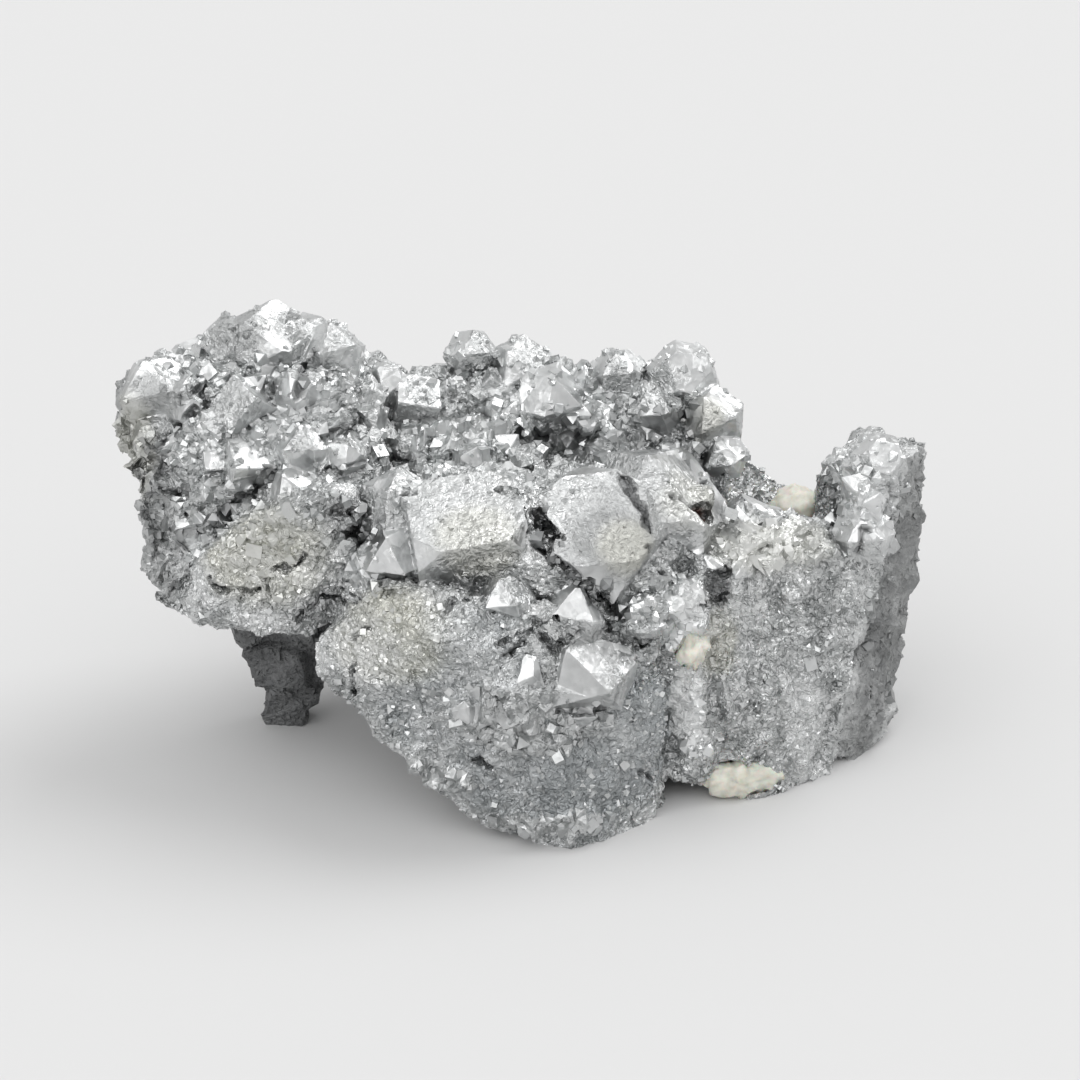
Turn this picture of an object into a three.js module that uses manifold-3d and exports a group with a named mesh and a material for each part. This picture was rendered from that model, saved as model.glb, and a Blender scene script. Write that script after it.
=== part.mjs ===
// A skutterudite specimen: one mass of tin-white metallic ore, its top and back overgrown by
// intergrown cubic crystals, its front a broken granular face, with patches of cream calcite.
// Millimetres, +Z up, +X along the longest side, the best crystals facing -Y.
// The origin is on the surface the specimen rests on, under the middle of its outline.
import * as THREE from "three";
import { ConvexGeometry } from "three/addons/geometries/ConvexGeometry.js";
import { TessellateModifier } from "three/addons/modifiers/TessellateModifier.js";
import { MeshSurfaceSampler } from "three/addons/math/MeshSurfaceSampler.js";
import { mergeVertices } from "three/addons/utils/BufferGeometryUtils.js";
import Module from "manifold-3d";

const wasm = await Module();
wasm.setup();

// ---- driving dimensions ----
const FINE_FACET = 5.5; // longest edge of a facet on the broken faces at the front
const COARSE_FACET = 9; // longest edge of a facet on the bulk of the ore
const ORE_RELIEF = 1.5; // how far the ore's surface wanders in and out
const LUMP_SPACING = 6; // from one broad lump of the ore to the next
const CHIP_SPACING = 2.7; // from one small chip to the next
const LUMP_SHARE = 0.75; // share of the relief in the lumps
const CHIP_SHARE = 0.45; // share of the relief in the chips
const CRACK_REACH = 2.5; // how far a crack's wedge stands out of the surface it opens
const HOLLOW_RELIEF = 0.2; // how far a hollow's wall wanders, over its least radius
const SEAM_GAP = 0.3; // clearance between the ore and the calcite set into it
const DRUSE_SEED = 11; // picks where the druses' crystals stand
const DRUSE_ROOM = 1.25; // least distance between two crystals, over the mean of their half-widths
const DRUSE_SUNK = 0.25; // how deep a crystal's middle sits in the ore, over its half-width
const DRUSE_LEAN = -0.2; // the least upward part of the surface's normal where crystals grow
const DRUSE_TRIES = 6000; // spots tried in each druse before it is left as it is
const GROUND_BLOCK = 200; // side of the block that trims the specimen's feet flat

// ---- materials ----
const ore = new THREE.MeshStandardMaterial({ color: 0xb4b6b6, roughness: 0.38, metalness: 0.9 });
const calcite = new THREE.MeshStandardMaterial({ color: 0xe4e2d0, roughness: 0.6, metalness: 0 });

// ---- helpers ----
const vector = (point) => new THREE.Vector3(...point);

function seeded(seed) {
  let state = seed >>> 0;
  return () => {
    state = (state + 0x6d2b79f5) >>> 0;
    let t = Math.imul(state ^ (state >>> 15), state | 1);
    t ^= t + Math.imul(t ^ (t >>> 7), t | 61);
    return ((t ^ (t >>> 14)) >>> 0) / 4294967296;
  };
}

function latticeValue(x, y, z) {
  let h = Math.imul(x, 374761393) ^ Math.imul(y, 668265263) ^ Math.imul(z, 2147483647);
  h = Math.imul(h ^ (h >>> 13), 1274126177);
  return ((h ^ (h >>> 16)) >>> 0) / 2147483648 - 1;
}

// Smooth value noise from -1 to 1, with a feature size of one unit.
function noise(x, y, z) {
  const [ix, iy, iz] = [x, y, z].map(Math.floor);
  const ease = (t) => t * t * (3 - 2 * t);
  const [fx, fy, fz] = [ease(x - ix), ease(y - iy), ease(z - iz)];
  let sum = 0;
  for (const [dx, wx] of [[0, 1 - fx], [1, fx]])
    for (const [dy, wy] of [[0, 1 - fy], [1, fy]])
      for (const [dz, wz] of [[0, 1 - fz], [1, fz]])
        sum += wx * wy * wz * latticeValue(ix + dx, iy + dy, iz + dz);
  return sum;
}

function placement(at, turn = [0, 0, 0], radii = [1, 1, 1]) {
  const angles = turn.map(THREE.MathUtils.degToRad);
  const rotation = new THREE.Quaternion().setFromEuler(new THREE.Euler(...angles, "ZYX"));
  return new THREE.Matrix4().compose(vector(at), rotation, vector(radii));
}

function positionsOnly(geometry) {
  const bare = geometry.index ? geometry.toNonIndexed() : geometry.clone();
  bare.deleteAttribute("normal");
  bare.deleteAttribute("uv");
  return mergeVertices(bare, 1e-4);
}

function solid(geometry) {
  const merged = positionsOnly(geometry);
  return new wasm.Manifold(
    new wasm.Mesh({
      numProp: 3,
      vertProperties: merged.attributes.position.array,
      triVerts: new Uint32Array(merged.index.array),
    }),
  );
}

function geometryOf(manifold) {
  const mesh = manifold.getMesh();
  const geometry = new THREE.BufferGeometry()
    .setAttribute("position", new THREE.BufferAttribute(mesh.vertProperties, 3))
    .setIndex(new THREE.BufferAttribute(mesh.triVerts, 1));
  const flat = geometry.toNonIndexed();
  flat.computeVertexNormals();
  return flat;
}

// Pushes each vertex in or out along the line from the middle, by noise fixed in space.
function roughen(geometry, relief) {
  geometry.computeBoundingSphere();
  const middle = geometry.boundingSphere.center;
  const p = geometry.attributes.position;
  const v = new THREE.Vector3();
  for (let i = 0; i < p.count; i++) {
    v.fromBufferAttribute(p, i);
    const lumps = noise(v.x / LUMP_SPACING + 31, v.y / LUMP_SPACING + 7, v.z / LUMP_SPACING + 19);
    const chips = noise(v.x / CHIP_SPACING + 5, v.y / CHIP_SPACING + 43, v.z / CHIP_SPACING + 11);
    const out = v.clone().sub(middle).normalize();
    v.addScaledVector(out, relief * (LUMP_SHARE * lumps + CHIP_SHARE * chips));
    p.setXYZ(i, v.x, v.y, v.z);
  }
  return geometry;
}

// A block of massive ore: the hull of its corners, broken into facets and roughened.
function block(corners, facet) {
  const hull = new ConvexGeometry(corners.map(vector));
  const facets = positionsOnly(new TessellateModifier(facet, 20).modify(hull));
  return solid(roughen(facets, ORE_RELIEF));
}

// One cubic crystal: a box with its corners cut by an octahedron, so that its faces meet at the
// cubic system's own angles. Its form runs from 1, an octahedron, through 2 to 3, a cube.
function crystal({ at, size, form = 2, turn, sides = [1, 1, 1] }) {
  const place = placement(at, turn);
  const cube = new THREE.BoxGeometry(...sides.map((side) => 2 * size * side));
  const octahedron = new THREE.OctahedronGeometry(size * form);
  return solid(cube.applyMatrix4(place)).intersect(solid(octahedron.applyMatrix4(place)));
}

// A crack: thin wedges that open along a row of surface points and are driven in by a depth.
function crack({ along, into, width, depth }) {
  const inward = vector(into).normalize();
  const wedges = [];
  for (let i = 1; i < along.length; i++) {
    const ends = [vector(along[i - 1]), vector(along[i])];
    const run = ends[1].clone().sub(ends[0]);
    const across = run.cross(inward).setLength(width / 2);
    const corners = ends.flatMap((end) => {
      const mouth = end.clone().addScaledVector(inward, -CRACK_REACH);
      const root = end.clone().addScaledVector(inward, depth);
      return [mouth.clone().add(across), mouth.clone().sub(across), root];
    });
    wedges.push(solid(new ConvexGeometry(corners)));
  }
  return wasm.Manifold.union(wedges);
}

// A pit or hollow: a lumpy ellipsoid.
function hollow({ at, radii, turn }) {
  const ball = positionsOnly(new THREE.IcosahedronGeometry(1)).applyMatrix4(placement(at, turn, radii));
  return solid(roughen(ball, HOLLOW_RELIEF * Math.min(...radii)));
}

// ---- the bulk of the ore, which crystals cover or which lies at the back and side ----
const COARSE_BLOCKS = {
  leftMass: [
    [-37.5, 1, 17.5], [-32, -3, 15.5], [-20, -6, 16], [-18, 8, 14], [-30, 12, 18], [-39.2, 4, 33],
    [-39.6, 6, 37.5], [-37, 14, 36], [-38.5, 0, 20.5], [-39.5, -1, 27], [-20, -5, 30], [-13.5, -3, 30],
    [-36, 8, 38.5], [-30, 7, 41], [-24, 9, 42.5], [-18, 8, 41], [-15.5, 9, 38.5], [-30, 0, 37],
    [-20, -1, 37], [-36, 18, 30], [-20, 22, 28], [-20, 19, 38.5], [-30, 18, 38.5], [-14, 18, 33],
  ],
  leftShoulder: [
    [-21, -7, 18], [-13, -11, 26], [-11, -4, 31], [-19, -4, 30], [-14, 2, 13], [-10, -10, 13],
    [-20, -2, 18], [-9, -12, 20],
  ],
  backRidge: [
    [-15, 9, 36], [-6, 14, 37], [4, 14, 36.5], [12, 12, 36.5], [17, 12, 37], [20, 8, 34],
    [21, 7, 30], [-14, 10, 10], [22, 12, 10], [-10, 22, 20], [15, 22, 18], [-10, 19, 33], [14, 18, 33],
    [-12, 3, 31], [20, 3, 28], [5, 4, 28],
  ],
  core: [
    [-14, -5, 30.5], [-8, -7, 31.5], [0, -6, 31], [7, -8, 31.5], [13, -5, 32], [18, -4, 30],
    [-12, -12, 25], [-4, -13, 27], [3, -13, 26], [12, -11, 24], [17, -8, 21], [-10, -11, 12],
    [14, -9, 10], [-14, 4, 12], [18, 4, 10], [-13, 5, 29.5], [18, 5, 29],
  ],
  back: [
    [-20, 6, 16], [-15, 19, 14], [-9, 14, -1], [10, 19, -1], [26, 17, -1], [37, 12, -1],
    [37, 12, 18],
    [20, 19, 19], [0, 24, 20], [-14, 23, 26], [-18, 20, 33], [10, 22, 32], [0, 0, -1], [0, -4, 10],
  ],
  rightShoulder: [
    [11, -13, 22], [17, -10, 22], [17.5, -10, 5], [12, -12.5, 5], [14, -12.5, 12], [19, -8, 24],
    [17, 0, 2], [10, -4, 3], [14, -2, 27], [22, -3, 25],
  ],
  sideWall: [
    [33, -5.5, 17], [32.5, -4.5, 24], [33, -3, 30], [34, -3, 0], [33, 1, 31.5], [36, 4, 32.5],
    [40.5, 6, 30.5], [41, 7, 27], [40, 4, 16], [38.5, 2, 4], [37.5, 1.5, -1], [39, 15, 25], [37, 14, -1],
    [35, 13, 29], [30, 8, -1], [30, 8, 26], [31, -4, 2],
  ],
};

// ---- the blocks whose broken faces lie bare at the front ----
const FINE_BLOCKS = {
  leftSlab: [
    [-37.5, -2.5, 18.5], [-33, -7, 17.2], [-35.5, -5, 22], [-27, -8.5, 28], [-20, -8.5, 31.5],
    [-15, -5, 31], [-15, -8, 26], [-21, -10.5, 22], [-25, -9.5, 17], [-20, -8, 16.5],
    [-28, -5.5, 15.8], [-20, -2, 20], [-28, 0, 28],
  ],
  frontLobe: [
    [-21, -11.5, 18], [-20, -13, 15.5], [-17, -14, 13.4], [-11, -17, 6], [-3, -19.3, 0], [5, -20.3, -1],
    [11, -16, -1], [13.8, -11, -1], [14.5, -12.5, 6], [13, -14.5, 13], [0, -19.5, 16], [-8, -18, 21],
    [-14, -13.5, 25], [-6, -15, 25.5], [3, -15, 23.5], [10, -13, 20], [16, -9.5, 18], [-17, -4, 14],
    [-5, -4, 0], [8, -3, -1], [-16, -5, 22],
  ],
  rightLobe: [
    [16, -9, 21], [16.5, -10, 6], [19, -10, 0.5], [24, -10.5, -1], [30, -6, -1], [32.5, -6, 5],
    [33, -5.4, 16], [33, -4.6, 23], [29, -2, 25.5], [20.5, -7, 25.5], [18, -4, 26], [16, 9, -1],
    [34, 9, -1], [18, 8, 24], [31, 9, 21], [34, 9, 17],
  ],
  leg: [
    [-30.5, 3, 17], [-21, 1, 16.5], [-20, 9, 16], [-29, 11, 17], [-28.8, 3.2, 11], [-22.5, 2.6, 10],
    [-21.5, 8, 10], [-28.6, 9, 11], [-27.2, 4.6, 4], [-22.6, 4.4, 4.5], [-22.6, 8, 4], [-26.8, 8.4, 4],
    [-26.2, 5.2, -1], [-23.6, 5, -1], [-23.6, 7.4, -1], [-26, 7.6, -1],
  ],
};

// ---- crystals big enough to place one by one ----
const GREAT_CRYSTALS = [
  // left mass
  { at: [-36.6, 5.0, 37.2], size: 2.9, form: 2, turn: [20, 30, 10] },
  { at: [-33.2, 3.2, 36.8], size: 2.0, form: 2, turn: [35, 10, 40] },
  { at: [-29.2, 8.0, 41.4], size: 2.2, form: 2, turn: [15, 20, 60] },
  { at: [-25.2, 8.4, 41.0], size: 3.4, form: 2, turn: [30, 12, 20], sides: [1.2, 1, 0.9] },
  { at: [-19.2, 7.6, 40.4], size: 2.6, form: 2, turn: [10, 40, 30] },
  { at: [-36.4, 2.0, 33.2], size: 2.1, form: 2, turn: [40, 20, 10] },
  { at: [-27.4, 1.0, 37.2], size: 2.1, form: 3, turn: [24, 35, 52] },
  { at: [-22.0, 2.0, 38.6], size: 2.0, form: 2, turn: [12, 18, 33] },
  { at: [-29.9, 0.0, 35.4], size: 2.1, form: 1, turn: [5, 25, 15] },
  { at: [-27.0, -2.2, 32.4], size: 2.0, form: 3, turn: [28, 8, 22] },
  { at: [-36.4, -0.6, 29.4], size: 2.2, form: 2, turn: [50, 15, 35] },
  { at: [-21.6, -2.2, 34.2], size: 2.1, form: 2, turn: [20, 42, 12] },
  { at: [-17.4, -1.8, 33.2], size: 1.8, form: 2, turn: [38, 22, 58] },
  { at: [-34.4, -2.0, 25.6], size: 2.0, form: 2, turn: [18, 30, 44] },
  { at: [-22.4, -3.8, 30.6], size: 2.2, form: 2, turn: [32, 16, 28] },
  // above the front edge
  { at: [-12.2, -6.0, 29.6], size: 3.0, form: 2, turn: [34, 14, 40] },
  { at: [-12.2, -9.0, 26.0], size: 2.8, form: 2, turn: [50, 30, 16] },
  { at: [-5.4, -7.6, 26.4], size: 5.2, form: 2.5, turn: [24, -6, 10], sides: [1.06, 0.9, 1] },
  { at: [7.0, -6.8, 26.4], size: 5.6, form: 2.15, turn: [32, 24, -28], sides: [1, 1, 0.92] },
  { at: [12.4, -1.6, 26.0], size: 6.2, form: 2, turn: [22, 40, 18], sides: [1, 0.9, 1] },
  { at: [4.9, -12.8, 21.6], size: 2.8, form: 2, turn: [26, 50, 12] },
  { at: [5.7, -13.6, 15.7], size: 4.1, form: 2, turn: [40, 18, 24] },
  { at: [0.1, -16.4, 16.4], size: 2.2, form: 2, turn: [12, 10, 14], sides: [0.85, 1, 1.5] },
  { at: [-1.7, -13.6, 23.2], size: 2.2, form: 2, turn: [22, 34, 8] },
  // along the back ridge
  { at: [-14.3, 9.8, 35.4], size: 2.2, form: 2, turn: [10, 14, 42], sides: [0.8, 1, 1.4] },
  { at: [-11.0, 8.6, 34.4], size: 2.2, form: 3, turn: [22, 12, 6] },
  { at: [-5.4, 13.8, 37.8], size: 2.2, form: 2, turn: [15, 45, 20] },
  { at: [-0.4, 12.6, 36.8], size: 2.6, form: 2, turn: [30, 12, 24] },
  { at: [2.6, 9.4, 34.8], size: 2.8, form: 2, turn: [40, 28, 50] },
  { at: [9.6, 12.2, 36.4], size: 2.1, form: 2, turn: [18, 36, 10] },
  { at: [16.2, 11.4, 36.4], size: 3.2, form: 1.7, turn: [10, 8, 45] },
  { at: [19.0, 8.4, 33.0], size: 2.6, form: 2, turn: [24, 18, 30] },
  { at: [20.2, 7.0, 29.6], size: 2.0, form: 2, turn: [44, 20, 15] },
  { at: [13.4, 8.8, 33.8], size: 2.2, form: 2, turn: [30, 30, 0] },
  // round the right lobe's rim
  { at: [22.4, 1.6, 24.8], size: 2.1, form: 2, turn: [12, 25, 50] },
  { at: [26.4, -1.6, 24.4], size: 2.0, form: 2, turn: [33, 8, 20] },
  { at: [21.4, -4.4, 25.0], size: 2.1, form: 2, turn: [20, 20, 44] },
  // on top of the side wall
  { at: [35.4, 2.2, 31.0], size: 2.6, form: 1.6, turn: [8, 10, 45] },
  { at: [33.0, -0.6, 29.6], size: 2.1, form: 1, turn: [14, 30, 10] },
  { at: [34.2, -1.8, 28.2], size: 2.2, form: 1, turn: [40, 5, 32] },
  { at: [33.4, -2.8, 25.2], size: 2.4, form: 2, turn: [26, 36, 18] },
];

// ---- where crystals crowd together: boxes on the ore's surface, each with its number ----
const DRUSES = [
  { from: [-42, -5, 26], to: [-13, 24, 43], count: 32, sizes: [1.1, 2] },
  { from: [-16, 2.5, 30], to: [21, 24, 38], count: 27, sizes: [1, 2] },
  { from: [17, -8, 23.5], to: [32, 3, 27], count: 8, sizes: [1, 1.6] },
  { from: [31, -6, 22], to: [37, 12, 34], count: 7, sizes: [1, 1.7] },
  { from: [-38, 14, 16], to: [20, 27, 30], count: 8, sizes: [1.4, 2.4] },
  { from: [-6, -21, 9], to: [8, -14, 16], count: 5, sizes: [0.8, 1.3] },
];

// ---- cracks and hollows ----
const CRACKS = [
  // between the two great crystals, then down under the lower one
  {
    along: [[1, -9, 30.8], [7.4, -11, 23.2], [12, -11.5, 17.5]],
    into: [0.1, 0.8, -0.4],
    width: 1.5,
    depth: 2.6,
  },
  { along: [[-2.4, -18, 20.2], [3.4, -15.5, 22.6]], into: [0, 0.9, 0.1], width: 1.4, depth: 2.6 },
  // across the left mass
  { along: [[-38.6, 0, 33.2], [-33.6, -0.5, 36.2]], into: [0.3, 0.9, -0.3], width: 1.3, depth: 2.8 },
  // along the shelf over the overhang, and in the broken face under it
  {
    along: [[-20.5, -12.5, 19.5], [-14.6, -13.4, 23.6], [-9, -14, 25.4]],
    into: [0, 0.8, -0.4],
    width: 0.9,
    depth: 1.8,
  },
  {
    along: [[-17.2, -14.6, 14.6], [-15.5, -15.6, 18.4], [-9.6, -17.4, 21]],
    into: [0.1, 1, 0],
    width: 0.9,
    depth: 1.8,
  },
];
// hollows in the ore, which the crystals grow around
const HOLLOWS = [
  // behind the great crystals, and at the right end of the ridge
  { at: [3, 5.5, 31.5], radii: [5.6, 3.6, 3.2], turn: [0, 8, 10] },
  { at: [18.6, 4, 29.5], radii: [2.4, 3.4, 4], turn: [0, -12, 0] },
  // between the slab and the great crystals, and at the foot of the side wall's crystals
  { at: [-16.6, -6.6, 27.6], radii: [2.2, 2.6, 2.8], turn: [0, 0, 20] },
  { at: [31.2, 0.5, 27], radii: [1.6, 3, 2.8], turn: [0, 0, 0] },
  // the scooped face of the right lobe
  { at: [23.4, -15.2, 13.2], radii: [5.6, 7.4, 8.4], turn: [-10, 0, 24] },
];
// pits, which go through crystals too
const PITS = [
  { at: [17.4, -5.2, 28.6], radii: [1.5, 1.8, 1.2], turn: [0, 0, 0] },
  { at: [17.2, -9.8, 20.8], radii: [0.9, 1.8, 1.2], turn: [0, 0, 0] },
];

// ---- patches of calcite, each a lump set into the ore ----
const CALCITE = {
  calcite_foot: { at: [22.2, -9.6, 1.6], radii: [4.6, 1.6, 1.9], turn: [0, 4, 20] },
  calcite_nodule: { at: [16.5, -10.6, 16.6], radii: [1.3, 1.5, 1.8], turn: [0, 10, 0] },
  calcite_back: { at: [28.4, 10.5, 21.2], radii: [2.8, 2.2, 2.4], turn: [10, 0, 0] },
};

// the forms that a small crystal takes, and what brings each to a like width
const FORMS = [1, 1, 2, 3];
const FORM_SCALE = { 1: 1.4, 2: 1, 3: 0.85 };

// Scatters each druse's crystals over the surface, clear of those already grown, and returns them all.
function withDruses(surface, grown) {
  const random = seeded(DRUSE_SEED);
  const sampler = new MeshSurfaceSampler(new THREE.Mesh(surface)).setRandomGenerator(random).build();
  const spot = new THREE.Vector3();
  const normal = new THREE.Vector3();
  const crystals = [...grown];
  for (const { from, to, count, sizes } of DRUSES) {
    const zone = new THREE.Box3(vector(from), vector(to));
    let left = count;
    for (let tries = 0; tries < DRUSE_TRIES && left > 0; tries++) {
      sampler.sample(spot, normal);
      const size = THREE.MathUtils.lerp(...sizes, random() ** 2);
      const at = spot.clone().addScaledVector(normal, -DRUSE_SUNK * size);
      const room = (other) => (DRUSE_ROOM * (size + other.size)) / 2;
      const clear = (other) => at.distanceTo(vector(other.at)) > room(other);
      if (!zone.containsPoint(spot) || normal.z < DRUSE_LEAN || !crystals.every(clear)) continue;
      const form = FORMS[Math.floor(FORMS.length * random())];
      const turn = [360 * random(), 360 * random(), 360 * random()];
      crystals.push({ at: at.toArray(), size: size * FORM_SCALE[form], form, turn });
      left -= 1;
    }
  }
  return crystals;
}

// A patch of calcite, or with a clearance the pocket for it.
function patch({ at, radii, turn }, clearance = 0) {
  const widened = radii.map((radius) => radius + clearance);
  return solid(new THREE.IcosahedronGeometry(1, 1).applyMatrix4(placement(at, turn, widened)));
}

// The outer skin alone, so that no void is left sealed between crystals.
function withoutVoids(manifold) {
  const shells = manifold.decompose();
  return shells.reduce((largest, shell) => (shell.volume() > largest.volume() ? shell : largest));
}

// ---- the ore with its crystals, cracks and pockets ----

const { union } = wasm.Manifold;
const oreBlocks = union([
  ...Object.values(COARSE_BLOCKS).map((corners) => block(corners, COARSE_FACET)),
  ...Object.values(FINE_BLOCKS).map((corners) => block(corners, FINE_FACET)),
]);
const massive = oreBlocks.subtract(union(HOLLOWS.map(hollow)));
const crystals = withDruses(geometryOf(massive), GREAT_CRYSTALS);
const overgrown = union([massive, ...crystals.map(crystal)]);
const pockets = Object.values(CALCITE).map((shape) => patch(shape, SEAM_GAP));
const openings = union([...CRACKS.map(crack), ...PITS.map(hollow), ...pockets]);
const groundBlock = new THREE.BoxGeometry(GROUND_BLOCK, GROUND_BLOCK, GROUND_BLOCK);
const ground = solid(groundBlock.translate(0, 0, -GROUND_BLOCK / 2));

// ---- the specimen ----
const specimen = new THREE.Group();
// Adds one named piece, trimmed to stand on the ground.
function add(name, manifold, material) {
  const mesh = new THREE.Mesh(geometryOf(withoutVoids(manifold.subtract(ground))), material);
  mesh.name = name;
  specimen.add(mesh);
}
add("skutterudite_mass", overgrown.subtract(openings), ore);
for (const [name, shape] of Object.entries(CALCITE)) add(name, patch(shape), calcite);

const box = new THREE.Box3().setFromObject(specimen);
specimen.position.set(-(box.min.x + box.max.x) / 2, -(box.min.y + box.max.y) / 2, 0);

export default specimen;
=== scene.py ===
"""Dresses a skutterudite specimen and lights it.

The lump of ore gets its granular broken faces, its crystals a crust of smaller ones, and the
calcite its waxy lumps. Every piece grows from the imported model's own solids.
"""

import math
import random

import bmesh
import bpy
import numpy as np
from mathutils import Euler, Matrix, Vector, noise
from mathutils.bvhtree import BVHTree


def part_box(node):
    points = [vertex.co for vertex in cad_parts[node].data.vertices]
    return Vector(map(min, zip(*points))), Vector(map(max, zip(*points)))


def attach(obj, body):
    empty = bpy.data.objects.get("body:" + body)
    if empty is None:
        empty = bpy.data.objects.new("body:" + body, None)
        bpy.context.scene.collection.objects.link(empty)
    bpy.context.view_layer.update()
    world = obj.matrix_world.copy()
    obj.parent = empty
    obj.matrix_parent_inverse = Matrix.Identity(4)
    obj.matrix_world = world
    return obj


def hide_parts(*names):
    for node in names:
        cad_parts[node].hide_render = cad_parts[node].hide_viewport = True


bl_info = {
    "name": "Skutterudite Specimen",
    "version": (1, 0, 0),
    "blender": (4, 5, 0),
    "location": "View3D > Sidebar > Specimen",
    "description": "Finishes a lump of metallic ore with its crystals and calcite",
    "category": "Add Mesh",
}

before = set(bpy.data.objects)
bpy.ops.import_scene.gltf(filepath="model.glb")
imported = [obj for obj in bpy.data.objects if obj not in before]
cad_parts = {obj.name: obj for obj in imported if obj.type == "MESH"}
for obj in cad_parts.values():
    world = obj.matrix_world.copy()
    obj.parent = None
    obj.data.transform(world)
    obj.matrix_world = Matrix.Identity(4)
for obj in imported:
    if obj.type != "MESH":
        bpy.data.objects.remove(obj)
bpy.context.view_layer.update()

MM = 0.001

# ---- places: the model's own coordinates in millimetres, before it was centred ----
CALCITE = ("calcite_foot", "calcite_nodule", "calcite_back")
NODULE_MIDDLE = Vector((16.5, -10.6, 16.6))


def shift_of_the_frame():
    """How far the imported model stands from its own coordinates, in millimetres."""
    low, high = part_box("calcite_nodule")
    return (low + high) / 2 / MM - NODULE_MIDDLE


SHIFT = shift_of_the_frame()

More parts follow.
